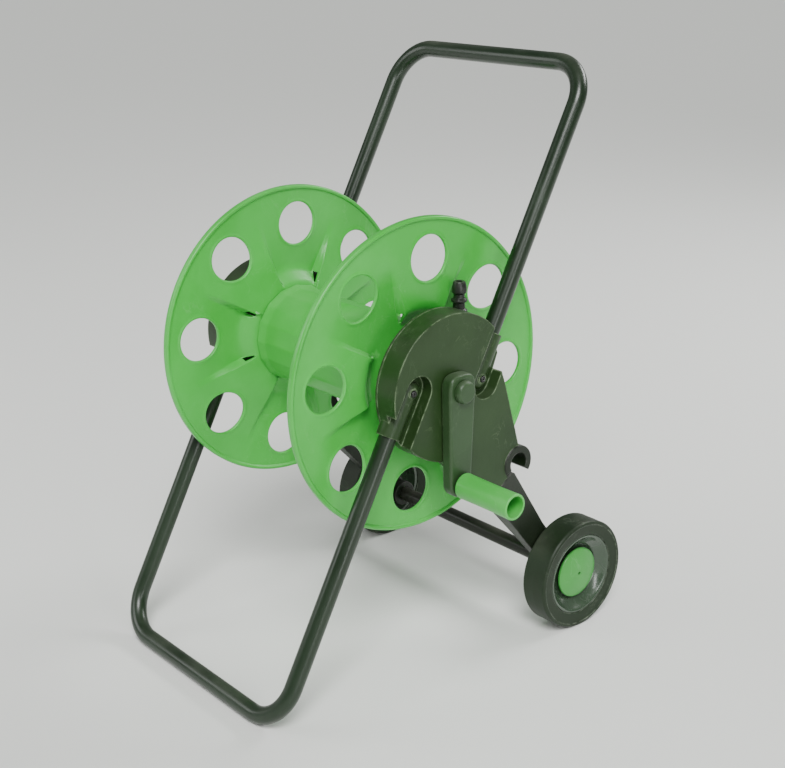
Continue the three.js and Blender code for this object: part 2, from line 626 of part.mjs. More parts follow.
// The drum side: an elbow from the spindle to the hose's tail inside the drum.
function outletElbow() {
  const start = new THREE.Vector3(discInnerX - GAP, 0, 0);
  const corner = new THREE.Vector3(OUTLET_X, 0, 0);
  const end = new THREE.Vector3(OUTLET_X, 0, -DRUM_RADIUS + 4);
  const pipe = bentPipe(8, start, corner, end, 14, 12);
  const collar = new THREE.CylinderGeometry(10.5, 10.5, 8, 12).rotateX(Math.PI / 2)
    .translate(OUTLET_X, 0, -DRUM_RADIUS + 22);
  const bore = bentPipe(5, start.clone().setX(discInnerX + 2), corner, end.clone().setZ(-DRUM_RADIUS),
    14, 8);
  return cut(joined(pipe, toSolid(collar)), bore);
}

addPiece('inlet_spindle', inletSpindle(), finish(BLACK, 0.5));
addPiece('far_side_spindle', mirroredX(toGeometry(plainSpindle())), finish(BLACK, 0.5));
addPair('bearing_bush', bearingBush(), finish(0xd8d8d0, 0.5));
addPiece('inner_water_seal', sealRing(INLET_X - 4.5), finish(BLACK, 0.8));
addPiece('outer_water_seal', sealRing(INLET_X + 4.5), finish(BLACK, 0.8));
addPiece('inlet_elbow', inletElbow(), finish(BLACK, 0.5));
addPiece('inlet_connector', inletConnector(), finish(BLACK, 0.5));
addPiece('outlet_elbow', outletElbow(), finish(BLACK, 0.5));
addPiece('far_side_spindle_screw', screw(-BRACKET_OUTER_X - 1.6, 9, 1, 0, 0), finish(STEEL, 0.4, 1));
addPiece('far_side_end_cap', mirroredX(endCap(BRACKET_OUTER_X + GAP)), finish(OLIVE, 0.6));

// ---- Crank -------------------------------------------------------------------------------------

// A shallow dome with a skirt, pressed on over a spindle's screw.
function endCap(x) {
  return turned([[0, x + 4.4], [13, x + 4], [13, x], [16, x], [16, x + 3.4], [13, x + 5.2],
    [7, x + 6.6], [0, x + 7]], 20);
}

function armOutline(shrink) {
  const [top, bottom] = [18 - shrink, 14.5 - shrink];
  const shape = new THREE.Shape();
  shape.moveTo(top, 0);
  shape.absarc(0, 0, top, 0, Math.PI, false);
  shape.absarc(0, -CRANK_LENGTH, bottom, Math.PI, 2 * Math.PI, false);
  return shape;
}

// A moulded channel, open towards the bracket, with a square socket above and a pin boss below.
function crankArm() {
  const outer = toSolid(slab(armOutline(0), CRANK_INNER_X, CRANK_OUTER_X));
  const hollow = cut(toSolid(slab(armOutline(3), CRANK_INNER_X - 1, CRANK_OUTER_X - 3)),
    toSolid(rod(13, CRANK_INNER_X - 2, CRANK_OUTER_X, 0, 0, 20)),
    toSolid(rod(8, CRANK_INNER_X - 2, CRANK_OUTER_X, 0, -CRANK_LENGTH, 16)));
  const square = new THREE.BoxGeometry(14, 14 + 2 * GAP, 14 + 2 * GAP).translate(CRANK_INNER_X + 3.5, 0, 0);
  return cut(outer, hollow, toSolid(square),
    toSolid(rod(SCREW_RADIUS + GAP, CRANK_INNER_X, CRANK_OUTER_X + 1, 0, 0, 8)),
    toSolid(rod(4 + GAP, CRANK_INNER_X - 1, CRANK_OUTER_X + 1, 0, -CRANK_LENGTH, 12)));
}

const gripPin = () => turned([[0, 170], [4, 170], [4, 182.4], [9, 182.4], [9, 185.4], [4, 185.4],
  [4, 241], [6, 241], [6, 243], [4, 245], [0, 245]], 16, 0, -CRANK_LENGTH);

const grip = () => turned([[4.4, GRIP_START_X + 2.2], [GRIP_RADIUS - 1.5, GRIP_START_X + 2.2],
  [GRIP_RADIUS, GRIP_START_X + 3.7], [GRIP_RADIUS, GRIP_END_X - 1.5], [GRIP_RADIUS - 1, GRIP_END_X],
  [11.4, GRIP_END_X], [11.2, 192], [7.4, 192], [7.4, 240.6], [4.4, 240.6], [4.4, GRIP_START_X + 2.2]],
  20, 0, -CRANK_LENGTH);

addPiece('crank_arm', crankArm(), finish(OLIVE, 0.55));
addPiece('crank_screw', screw(CRANK_OUTER_X + GAP, 12, -1, 0, 0), finish(STEEL, 0.4, 1));
addPiece('crank_cap', endCap(CRANK_OUTER_X + GAP), finish(OLIVE, 0.55));
addPiece('grip_pin', gripPin(), finish(BLACK, 0.5));
addPiece('grip', grip(), finish(REEL_GREEN, 0.4));

// The middle of the footprint box becomes the origin, with the ground at z = 0.
const box = new THREE.Box3().setFromObject(cart, true);
cart.position.set(-(box.min.x + box.max.x) / 2, -(box.min.y + box.max.y) / 2, -box.min.z);
cart.updateMatrixWorld(true);

export default cart;
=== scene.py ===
import json
import math

import bpy
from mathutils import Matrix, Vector


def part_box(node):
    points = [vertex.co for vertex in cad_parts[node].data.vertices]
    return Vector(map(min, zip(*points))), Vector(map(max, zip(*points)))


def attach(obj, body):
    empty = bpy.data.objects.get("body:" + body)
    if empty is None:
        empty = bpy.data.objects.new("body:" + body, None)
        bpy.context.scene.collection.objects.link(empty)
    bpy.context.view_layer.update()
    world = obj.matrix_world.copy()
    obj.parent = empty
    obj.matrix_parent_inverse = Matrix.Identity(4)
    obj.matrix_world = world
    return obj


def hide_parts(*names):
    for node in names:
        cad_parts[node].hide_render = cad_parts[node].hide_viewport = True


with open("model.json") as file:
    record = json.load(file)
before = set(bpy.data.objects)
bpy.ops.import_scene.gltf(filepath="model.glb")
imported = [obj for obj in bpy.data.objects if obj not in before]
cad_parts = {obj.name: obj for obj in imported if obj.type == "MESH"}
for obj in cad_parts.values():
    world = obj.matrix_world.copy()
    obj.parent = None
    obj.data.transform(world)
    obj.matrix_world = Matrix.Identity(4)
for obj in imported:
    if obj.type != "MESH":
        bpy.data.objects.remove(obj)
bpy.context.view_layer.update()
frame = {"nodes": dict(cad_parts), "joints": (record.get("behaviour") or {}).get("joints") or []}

# ---- Camera, floor and light ---------------------------------------------------------------------
# The camera looks from the front, past the crank side, slightly down. A pale seamless floor, one
# broad key light over the crank side, a soft fill from the front, a rim light from behind and a tall
# strip beside the camera that draws a line of light down the tubes.

CAMERA_AZIMUTH = math.radians(49.4)
CAMERA_ELEVATION = math.radians(18.7)
CAMERA_DISTANCE = 1.52
CAMERA_AIM = Vector((0.003, 0.012, 0.298))
CAMERA_LENS = 62.7
SENSOR_WIDTH = 36
FLOOR_SIZE = 60.0
FLOOR_COLOUR = (0.83, 0.84, 0.81, 1)
FLOOR_ROUGHNESS = 0.9
FLOOR_SHINE = 0.1
AIR_COLOUR = (0.88, 0.91, 0.89, 1)
AIR_LIGHT = 0.30
FAR_WALL_BRIGHTNESS = 0.68
KEY_PLACE = Vector((1.5, -1.2, 2.4))
KEY_STRENGTH = 2.5
KEY_WIDTH = math.radians(24)

toward_camera = Vector((
    math.sin(CAMERA_AZIMUTH) * math.cos(CAMERA_ELEVATION),
    -math.cos(CAMERA_AZIMUTH) * math.cos(CAMERA_ELEVATION),
    math.sin(CAMERA_ELEVATION)))
bpy.ops.object.camera_add(location=CAMERA_AIM + toward_camera * CAMERA_DISTANCE)
camera = bpy.context.object
camera.name = "view_camera"
camera.rotation_euler = (-toward_camera).to_track_quat("-Z", "Y").to_euler()
camera.data.sensor_width = SENSOR_WIDTH
camera.data.lens = CAMERA_LENS
bpy.context.scene.camera = camera

bpy.ops.mesh.primitive_plane_add(size=FLOOR_SIZE, location=(0, 0, 0))
floor = bpy.context.object
floor.name = "studio_floor"
floor_paint = bpy.data.materials.new("studio_floor_paint")
floor_paint.use_nodes = True
floor_shader = floor_paint.node_tree.nodes["Principled BSDF"]
floor_shader.inputs["Base Color"].default_value = FLOOR_COLOUR
floor_shader.inputs["Roughness"].default_value = FLOOR_ROUGHNESS
floor_shader.inputs["Specular IOR Level"].default_value = FLOOR_SHINE
floor.data.materials.append(floor_paint)

air = bpy.data.worlds.new("studio_air")
air.use_nodes = True
air_nodes = air.node_tree.nodes
soft_light = air_nodes["Background"]
soft_light.inputs["Strength"].default_value = AIR_LIGHT
far_wall = air_nodes.new("ShaderNodeBackground")
far_wall.inputs["Strength"].default_value = FAR_WALL_BRIGHTNESS
seen = air_nodes.new("ShaderNodeMixShader")
air.node_tree.links.new(air_nodes.new("ShaderNodeLightPath").outputs["Is Camera Ray"], seen.inputs[0])
for socket, light in ((seen.inputs[1], soft_light), (seen.inputs[2], far_wall)):
    light.inputs["Color"].default_value = AIR_COLOUR
    air.node_tree.links.new(light.outputs[0], socket)
air.node_tree.links.new(seen.outputs[0], air_nodes["World Output"].inputs["Surface"])
bpy.context.scene.world = air


def softbox(name, place, width, height, power):
    """A soft rectangular light, turned to face the middle of the cart."""
    bpy.ops.object.light_add(type="AREA", location=place)
    lamp = bpy.context.object
    lamp.name = name
    lamp.data.shape = "RECTANGLE"
    lamp.data.size = width
    lamp.data.size_y = height
    lamp.data.energy = power
    lamp.rotation_euler = (CAMERA_AIM - Vector(place)).to_track_quat("-Z", "Y").to_euler()


bpy.ops.object.light_add(type="SUN", location=KEY_PLACE)
key_light = bpy.context.object
key_light.name = "key_light"
key_light.data.energy = KEY_STRENGTH
key_light.data.angle = KEY_WIDTH
key_light.rotation_euler = (CAMERA_AIM - KEY_PLACE).to_track_quat("-Z", "Y").to_euler()
softbox("key_fill", KEY_PLACE, width=1.1, height=0.8, power=22)
softbox("front_fill", (-1.5, -2.0, 1.3), width=1.4, height=1.2, power=20)
softbox("rim_light", (0.4, 2.3, 1.9), width=1.5, height=0.6, power=44)
softbox("side_strip", (2.4, -0.55, 0.62), width=0.30, height=1.5, power=16)

# ---- Handle and stand ----------------------------------------------------------------------------
# Two hoops of round steel tube, bent cold to a rounded rectangle and powder coated in a very dark
# green. Their open ends sit in the side brackets, one above the reel's axis and one below it.

joint_place = {joint["name"]: Vector(joint["pos_m"]) for joint in frame["joints"]}
reel_axis = joint_place["reel_spin"]
TUBE_RADIUS = 0.0095
TUBE_TILT = math.radians(27.5)
TUBE_OFFSET = 0.044
HOOP_BEND = 0.045
HANDLE_LEG = 0.360
STAND_LEG = 0.375
BEND_STEPS = 16
TUBE_SIDES = 40
DOUBLES_APART = 0.00001
along_tube = Vector((0, math.sin(TUBE_TILT), math.cos(TUBE_TILT)))
off_tube = Vector((0, math.cos(TUBE_TILT), -math.sin(TUBE_TILT)))
ACROSS = Vector((1, 0, 0))

# The moulded, coated and plated surfaces share four effects: a fine grain with a slow mottle, rounded
# edges in a lighter colour that is partly rubbed wear and partly a painted highlight, hair scratches
# from handling, and dust on what faces up.


def effect(name, inputs, outputs):
    """An empty node group with named number inputs and named outputs, and its two end nodes."""
    group = bpy.data.node_groups.new(name, "ShaderNodeTree")
    for label, value in inputs.items():
        socket = group.interface.new_socket(name=label, in_out="INPUT", socket_type="NodeSocketFloat")
        socket.default_value = value
    for label, kind in outputs.items():
        group.interface.new_socket(name=label, in_out="OUTPUT", socket_type=kind)
    return group, group.nodes.new("NodeGroupInput"), group.nodes.new("NodeGroupOutput")


def node(tree, kind, settings=None, **inputs):
    """A node of one kind, with its settings and its inputs, each a value or another's output."""
    made = tree.nodes.new("ShaderNode" + kind)
    for setting, value in (settings or {}).items():
        setattr(made, setting, value)
    for label, value in inputs.items():
        socket = made.inputs[int(label[1:])] if label[0] == "_" else made.inputs[label.replace("_", " ")]
        if isinstance(value, bpy.types.NodeSocket):
            tree.links.new(value, socket)
        else:
            socket.default_value = value
    return made


NUMBER = "NodeSocketFloat"
DIRECTION = "NodeSocketVector"
WAVE_TO_GRAIN = 0.08
WAVE_HEIGHT = 2.5

moulding_grain, start, end = effect("moulding_grain", {"Grain Scale": 900.0, "Mottle Scale": 9.0},
                                    {"Height": NUMBER, "Mottle": NUMBER})
where = node(moulding_grain, "TexCoord").outputs["Object"]
fine = node(moulding_grain, "TexNoise", Vector=where, Scale=start.outputs["Grain Scale"], Detail=3.0)
slow = node(moulding_grain, "TexNoise", Vector=where, Scale=start.outputs["Mottle Scale"], Detail=5.0,
            Roughness=0.6)
spread = node(moulding_grain, "MapRange", Value=slow.outputs[0], From_Min=0.36, From_Max=0.64)
wave_scale = node(moulding_grain, "Math", {"operation": "MULTIPLY"}, _0=start.outputs["Grain Scale"],
                  _1=WAVE_TO_GRAIN)
wavy = node(moulding_grain, "TexNoise", Vector=where, Scale=wave_scale.outputs[0], Detail=2.0)
height = node(moulding_grain, "Math", {"operation": "MULTIPLY_ADD"}, _0=wavy.outputs[0],
              _1=WAVE_HEIGHT, _2=fine.outputs[0])
moulding_grain.links.new(height.outputs[0], end.inputs["Height"])
moulding_grain.links.new(spread.outputs[0], end.inputs["Mottle"])

# Lighter colour on rounded edges, found with a Bevel node: partly rubbed wear, partly a painted highlight.
rubbed_edge_and_highlight, start, end = effect("rubbed_edge_and_highlight", {"Radius": 0.001, "Breakup Scale": 120.0},
                                 {"Edge": NUMBER, "Normal": DIRECTION})
where = node(rubbed_edge_and_highlight, "TexCoord").outputs["Object"]
rounding = node(rubbed_edge_and_highlight, "Bevel", {"samples": 6}, Radius=start.outputs["Radius"])
plain = node(rubbed_edge_and_highlight, "NewGeometry")
turn = node(rubbed_edge_and_highlight, "VectorMath", {"operation": "DOT_PRODUCT"}, _0=rounding.outputs[0],
            _1=plain.outputs["Normal"])
turned_away = node(rubbed_edge_and_highlight, "MapRange", Value=turn.outputs["Value"], From_Min=1.0, From_Max=0.86)
breakup = node(rubbed_edge_and_highlight, "TexNoise", Vector=where, Scale=start.outputs["Breakup Scale"], Detail=4.0)
patches = node(rubbed_edge_and_highlight, "MapRange", Value=breakup.outputs[0], From_Min=0.38, From_Max=0.6)
share = node(rubbed_edge_and_highlight, "Math", {"operation": "MULTIPLY"}, _0=turned_away.outputs[0],
             _1=patches.outputs[0])
rubbed_edge_and_highlight.links.new(share.outputs[0], end.inputs["Edge"])
rubbed_edge_and_highlight.links.new(rounding.outputs[0], end.inputs["Normal"])

handling_marks, start, end = effect("handling_marks", {"Mark Scale": 26.0}, {"Marks": NUMBER})
where = node(handling_marks, "TexCoord").outputs["Object"]
streak = node(handling_marks, "TexNoise", Vector=where, Scale=start.outputs["Mark Scale"], Detail=7.0,
              Roughness=0.55, Distortion=1.6)
centred = node(handling_marks, "Math", {"operation": "SUBTRACT"}, _0=streak.outputs[0], _1=0.5)
distance = node(handling_marks, "Math", {"operation": "ABSOLUTE"}, _0=centred.outputs[0])
line = node(handling_marks, "MapRange", Value=distance.outputs[0], From_Min=0.012, From_Max=0.0)
zone = node(handling_marks, "TexNoise", Vector=where, Scale=14.0, Detail=2.0)
thin_out = node(handling_marks, "MapRange", Value=zone.outputs[0], From_Min=0.5, From_Max=0.62)
marks = node(handling_marks, "Math", {"operation": "MULTIPLY"}, _0=line.outputs[0],
             _1=thin_out.outputs[0])
handling_marks.links.new(marks.outputs[0], end.inputs["Marks"])

settled_dust, start, end = effect("settled_dust", {"Patch Scale": 18.0}, {"Dust": NUMBER})
where = node(settled_dust, "TexCoord").outputs["Object"]
facing = node(settled_dust, "SeparateXYZ", Vector=node(settled_dust, "NewGeometry").outputs["Normal"])
upward = node(settled_dust, "MapRange", Value=facing.outputs["Z"], From_Min=0.45, From_Max=1.0)
patch = node(settled_dust, "TexNoise", Vector=where, Scale=start.outputs["Patch Scale"], Detail=6.0)
patchy = node(settled_dust, "MapRange", Value=patch.outputs[0], From_Min=0.36, From_Max=0.7)
dust = node(settled_dust, "Math", {"operation": "MULTIPLY"}, _0=upward.outputs[0], _1=patchy.outputs[0])
settled_dust.links.new(dust.outputs[0], end.inputs["Dust"])

DUST_COLOUR = (0.42, 0.41, 0.35, 1)
DUST_DULLING = 1.6
COAT_ROUGHNESS = 0.12
MOTTLE_DULLING = 0.05
MARK_TONE = 2


def surface(name, colour, mottled, edge_colour, roughness, grain, grain_depth, *, mottle=9.0,
            edge_radius=0.0009, edge_share=0.35, dust_share=0.10, marks_share=0.10, metallic=0.0,
            coat=0.0, shine=0.5):
    """A finish with a grain, a two-colour mottle, edges lightened as wear and painted highlight, marks and
    dust.
    """
    material = bpy.data.materials.new(name)
    material.use_nodes = True
    tree = material.node_tree
    shader = tree.nodes["Principled BSDF"]
    shader.inputs["Metallic"].default_value = metallic
    shader.inputs["Coat Weight"].default_value = coat
    shader.inputs["Specular IOR Level"].default_value = shine
    shader.inputs["Coat Roughness"].default_value = COAT_ROUGHNESS
    grained = node(tree, "Group", {"node_tree": moulding_grain}, Grain_Scale=grain, Mottle_Scale=mottle)
    edged = node(tree, "Group", {"node_tree": rubbed_edge_and_highlight}, Radius=edge_radius)
    marked = node(tree, "Group", {"node_tree": handling_marks})
    dusted = node(tree, "Group", {"node_tree": settled_dust})
    blend = node(tree, "Mix", {"data_type": "RGBA"}, _0=grained.outputs["Mottle"], _6=colour, _7=mottled)
    edge_amount = node(tree, "Math", {"operation": "MULTIPLY"}, _0=edged.outputs["Edge"], _1=edge_share)
    # The lighter edge colour mixed in here is partly wear and partly a painted highlight on the edges.
    worn_and_highlit = node(tree, "Mix", {"data_type": "RGBA"}, _0=edge_amount.outputs[0], _6=blend.outputs[2],
                _7=edge_colour)
    mark_amount = node(tree, "Math", {"operation": "MULTIPLY"}, _0=marked.outputs["Marks"],
                       _1=marks_share * MARK_TONE)
    scratched = node(tree, "Mix", {"data_type": "RGBA"}, _0=mark_amount.outputs[0], _6=worn_and_highlit.outputs[2],
                     _7=edge_colour)
    dust_amount = node(tree, "Math", {"operation": "MULTIPLY"}, _0=dusted.outputs["Dust"], _1=dust_share)
    dusty = node(tree, "Mix", {"data_type": "RGBA"}, _0=dust_amount.outputs[0], _6=scratched.outputs[2],
                 _7=DUST_COLOUR)
    tree.links.new(dusty.outputs[2], shader.inputs["Base Color"])
    varied = node(tree, "MapRange", Value=grained.outputs["Mottle"], To_Min=roughness - MOTTLE_DULLING,
                  To_Max=roughness + MOTTLE_DULLING)
    scuffed = node(tree, "Math", {"operation": "MULTIPLY_ADD"}, _0=marked.outputs["Marks"],
                   _1=marks_share, _2=varied.outputs[0])
    matted = node(tree, "Math", {"operation": "MULTIPLY_ADD"}, _0=dust_amount.outputs[0],
                  _1=DUST_DULLING, _2=scuffed.outputs[0])
    tree.links.new(matted.outputs[0], shader.inputs["Roughness"])
    bumped = node(tree, "Bump", Strength=1.0, Distance=grain_depth, Height=grained.outputs["Height"],
                  Normal=edged.outputs["Normal"])
    tree.links.new(bumped.outputs[0], shader.inputs["Normal"])
    return material


powder_coat = surface("dark_green_powder_coat", (0.0025, 0.013, 0.0020, 1), (0.006, 0.020, 0.005, 1),
                      (0.05, 0.075, 0.055, 1), roughness=0.36, grain=420, grain_depth=0.000014,
                      edge_share=0.2, dust_share=0.10, coat=0.12, shine=0.5)


def only(piece):
    """Selects one piece alone and makes it the active one."""
    bpy.ops.object.select_all(action="DESELECT")
    piece.select_set(True)
    bpy.context.view_layer.objects.active = piece


def placed(piece):
    """Puts the piece's place, turn and size into its mesh."""
    only(piece)
    bpy.ops.object.transform_apply(location=True, rotation=True, scale=True)
    return piece


def changed(piece, kind, **settings):
    """Adds a modifier to the piece and applies it."""
    only(piece)
    modifier = piece.modifiers.new(kind.lower(), kind)
    for setting, value in settings.items():
        setattr(modifier, setting, value)
    bpy.ops.object.modifier_apply(modifier=modifier.name)
    return piece


def outward(piece):
    """Merges the piece's doubled points and turns its faces outwards."""
    only(piece)
    bpy.ops.object.mode_set(mode="EDIT")
    bpy.ops.mesh.select_all(action="SELECT")
    bpy.ops.mesh.remove_doubles(threshold=DOUBLES_APART)
    bpy.ops.mesh.normals_make_consistent(inside=False)
    bpy.ops.object.mode_set(mode="OBJECT")
    return piece


def finished(piece, name, body, finish, slot, *nodes, crease=32):
    """Shades, names and paints a piece, hides the nodes that it stands for, and rides it."""
    placed(piece)
    bpy.ops.object.shade_smooth_by_angle(angle=math.radians(crease))
    changed(piece, "WEIGHTED_NORMAL", keep_sharp=True)
    piece.name = name
    piece.data.name = name
    piece.data.materials.clear()
    piece.data.materials.append(finish)
    if nodes:
        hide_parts(*nodes)
    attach(piece, body)
    return piece


def bent_hoop(node_name, leg, bar_side):
    """A tube drawn up one leg, round a bend, across the bar, round a bend and back down."""
    low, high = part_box(node_name)
    half_width = (high.x - low.x) / 2 - TUBE_RADIUS
    corner = high if bar_side > 0 else low
    inwards = -bar_side * TUBE_RADIUS
    bar = Vector(((low.x + high.x) / 2, corner.y + inwards, corner.z + inwards))
    rise = along_tube * bar_side
    turn_axis = rise.cross(ACROSS)
    straight = half_width - HOOP_BEND
    bpy.ops.object.select_all(action="DESELECT")
    bpy.ops.mesh.primitive_circle_add(vertices=TUBE_SIDES, radius=TUBE_RADIUS, fill_type="NGON",
                                      location=bar + ACROSS * half_width - rise * leg,
                                      rotation=(-TUBE_TILT, 0, 0))
    hoop = bpy.context.object
    bpy.ops.object.mode_set(mode="EDIT")
    bpy.ops.mesh.select_all(action="SELECT")
    bpy.ops.mesh.extrude_region_move(TRANSFORM_OT_translate={"value": rise * (leg - HOOP_BEND)})
    bpy.ops.mesh.spin(steps=BEND_STEPS, angle=math.pi / 2, axis=turn_axis,
                      center=bar + ACROSS * straight - rise * HOOP_BEND)
    bpy.ops.mesh.extrude_region_move(TRANSFORM_OT_translate={"value": ACROSS * -2 * straight})
    bpy.ops.mesh.spin(steps=BEND_STEPS, angle=math.pi / 2, axis=turn_axis,
                      center=bar - ACROSS * straight - rise * HOOP_BEND)
    bpy.ops.mesh.extrude_region_move(TRANSFORM_OT_translate={"value": rise * (HOOP_BEND - leg)})
    bpy.ops.object.mode_set(mode="OBJECT")
    outward(hoop)
    return finished(hoop, node_name + "_tube", "frame", powder_coat, "tube", node_name)


bent_hoop("handle_hoop", HANDLE_LEG, 1)
bent_hoop("stand_hoop", STAND_LEG, -1)

# ---- Side brackets -------------------------------------------------------------------------------
# Two thick mouldings of dark olive plastic, one the mirror of the other. Each has a round body with
# two recessed sleeves for the tubes, and a leg that goes on, coloured darker, as a hose hook and a
# strut to the axle. A flat cover of the same outline closes it on the reel's side.

axle_axis = joint_place["crank_side_wheel_spin"]
BRACKET_RADIUS = 0.079
BRACKET_INNER_X = 0.140
BRACKET_OUTER_X = 0.167
STRUT_OUTER_X = 0.1515
BOSS_RADIUS = 0.016
BOSS_INNER_X = 0.128
BOSS_OUTER_X = 0.152
SLEEVE_X = 0.147
SLEEVE_RADIUS = 0.0127
SLEEVE_START = 0.008
SLEEVE_LENGTH = 0.062
SLOT_HALF_WIDTH = 0.017
SLOT_FLOOR_X = 0.153
SLOT_REACH = 0.133
TUBE_SCREW_ALONG = 0.020
BUSH_RADIUS = 0.0153
AXLE_RADIUS = 0.0043
LEG_CORNERS = [(0.0607, -0.141), (0.092, -0.116), (0.099, -0.088), (0.0772, -0.016),
               (0.0703, 0.0029)]
DISC_START = math.radians(14)
DISC_SWEEP = math.radians(250.2)
DISC_STEPS = 72
STRUT_START = Vector((0, 0.076, -0.128))
STRUT_HALF_WIDTHS = (0.020, 0.013)
STRUT_KINK = 0.070
KINK_MARGIN = 0.97
ALIGNED = 0.99
HOOK_PLACE = (0.098, -0.108)
HOOK_RADIUS = 0.020
HOOK_NOTCH_RADIUS = 0.012
HOOK_MOUTH = (math.radians(-150), math.radians(-36))
HOOK_REACH = 0.040
HOOK_OUTER_X = 0.1686
HOOK_ROUNDING = 0.0008
CUT_START_X = 0.100
CUT_END_X = 0.175
LEG_SEAM_HALF_WIDTH = 0.0005
LEG_SEAM_FLOOR_X = 0.1660
DARKENED_LEG_TINT = (0.42, 0.30, 0.50, 1)
COVER_INNER_X = 0.1364
COVER_OUTER_X = 0.1397
COVER_ROUNDING = 0.0006
SHELL_ROUNDING = 0.0016
SLEEVE_ROUNDING = 0.006
TUBE_CLEARANCE = 0.0003
TUBE_END = 0.0117
TUBE_SCREW_BOSS = (0.0052, 0.150, 0.1606)
TUBE_SCREW_SINK = (0.0039, 0.1598, 0.170)
CROSS_TUBE_SOCKET_RADIUS = 0.0093
SCREW_HOLE_RADIUS = 0.0018
COVER_SCREW_PLACES = [(0.004, 0.064), (-0.030, -0.062), (0.060, -0.100), (0.134, -0.197)]
LONG = 0.4
TINY = 0.0002

# The light edge colour, spread wide and strong, is a painted highlight along the brackets' rounded edges.
olive_plastic = surface("olive_moulded_plastic", (0.012, 0.034, 0.007, 1), (0.023, 0.052, 0.015, 1),
                        (0.24, 0.33, 0.19, 1), roughness=0.40, grain=1500, grain_depth=0.00008,
                        edge_radius=0.0022, edge_share=0.8, dust_share=0.12, shine=0.32)


def at(x, y, z):
    """A place given by its distances from the middle of the reel's axis."""
    return reel_axis + Vector((x, y, z))


def rod_across(radius, from_x, to_x, y=0.0, z=0.0, sides=96):
    """A cylinder that lies across the cart, from one distance to another."""
    bpy.ops.object.select_all(action="DESELECT")
    bpy.ops.mesh.primitive_cylinder_add(vertices=sides, radius=radius, depth=to_x - from_x,
                                        location=at((from_x + to_x) / 2, y, z),
                                        rotation=(0, math.pi / 2, 0))
    return placed(bpy.context.object)


def plate_across(outline, from_x, to_x):
    """A flat outline of (y, z) points, drawn out across the cart to a thickness."""
    bpy.ops.object.select_all(action="DESELECT")
    bpy.ops.mesh.primitive_circle_add(vertices=len(outline), radius=1, fill_type="NGON")
    plate = bpy.context.object
    for point, (y, z) in zip(plate.data.vertices, outline):
        point.co = at(from_x, y, z)
    bpy.ops.object.mode_set(mode="EDIT")
    bpy.ops.mesh.select_all(action="SELECT")
    bpy.ops.mesh.extrude_region_move(TRANSFORM_OT_translate={"value": (to_x - from_x, 0, 0)})
    bpy.ops.object.mode_set(mode="OBJECT")
    return outward(plate)


def combined(piece, operation, *tools):
    """Joins solids to a piece, or cuts them out of it, and clears them away afterwards."""
    for tool in tools:
        changed(piece, "BOOLEAN", operation=operation, object=tool, solver="EXACT")
        bpy.data.objects.remove(tool)
    return piece


def join(piece, *tools):
    """Adds solids to a piece."""
    return combined(piece, "UNION", *tools)


def cut(piece, *tools):
    """Takes solids out of a piece."""
    return combined(piece, "DIFFERENCE", *tools)


def bevelled(piece, chosen, width, segments):
    """Rounds the edges whose middle a test chooses."""
    only(piece)
    bpy.ops.object.mode_set(mode="EDIT")
    bpy.ops.mesh.select_all(action="DESELECT")
    bpy.ops.object.mode_set(mode="OBJECT")
    points = piece.data.vertices
    for edge in piece.data.edges:
        ends = [points[index].co - reel_axis for index in edge.vertices]
        edge.select = chosen(*ends)
    bpy.ops.object.mode_set(mode="EDIT")
    bpy.ops.mesh.select_mode(type="EDGE")
    bpy.ops.mesh.bevel(offset=width, segments=segments, affect="EDGES", clamp_overlap=True)
    bpy.ops.mesh.select_mode(type="VERT")
    bpy.ops.object.mode_set(mode="OBJECT")
    return piece


strut_axis = axle_axis - reel_axis - STRUT_START
strut_axis.x = 0
strut_side = Vector((0, -strut_axis.z, strut_axis.y)).normalized()
kink_share = 1 - STRUT_KINK / strut_axis.length


def strut_corner(share, side):
    """A corner of the strut's outline, at a share of its length, on one side of its axis."""
    half_width = STRUT_HALF_WIDTHS[0] + (STRUT_HALF_WIDTHS[1] - STRUT_HALF_WIDTHS[0]) * share
    corner = STRUT_START + strut_axis * share + strut_side * side * half_width
    return corner.y, corner.z


def bracket_outline():
    """The round body, the leg and the strut in one outline."""
    angles = [DISC_START + DISC_SWEEP * step / DISC_STEPS for step in range(DISC_STEPS + 1)]
    disc = [(BRACKET_RADIUS * math.cos(angle), BRACKET_RADIUS * math.sin(angle)) for angle in angles]
    low, *others = LEG_CORNERS
    strut = [strut_corner(kink_share, -1), strut_corner(1, -1), strut_corner(1, 1),
             strut_corner(kink_share, 1)]
    return [*disc, low, *strut, *others]


def thinned_strut(piece, outer_x, thin_x):
    """Steps the strut's outer face inwards where it passes behind the wheel."""
    outer = {p.index: p.co - reel_axis for p in piece.data.vertices if (p.co - reel_axis).x > outer_x - TINY}
    kink_reach = strut_axis.length_squared * kink_share * KINK_MARGIN
    past_kink = [i for i, place in outer.items() if (place - STRUT_START).dot(strut_axis) > kink_reach]
    from_start = sorted(outer, key=lambda i: abs((outer[i] - STRUT_START).yz.length - STRUT_HALF_WIDTHS[0]))
    from_axle = sorted(past_kink, key=lambda i: (outer[i] + reel_axis - axle_axis).yz.length)
    for pair in (from_start[:2], from_axle[2:]):
        only(piece)
        bpy.ops.object.mode_set(mode="EDIT")
        bpy.ops.mesh.select_all(action="DESELECT")
        bpy.ops.object.mode_set(mode="OBJECT")
        for index in pair:
            piece.data.vertices[index].select = True
        bpy.ops.object.mode_set(mode="EDIT")
        bpy.ops.mesh.vert_connect_path()
        bpy.ops.object.mode_set(mode="OBJECT")
    for index in past_kink:
        piece.data.vertices[index].co.x = reel_axis.x + thin_x
    return piece


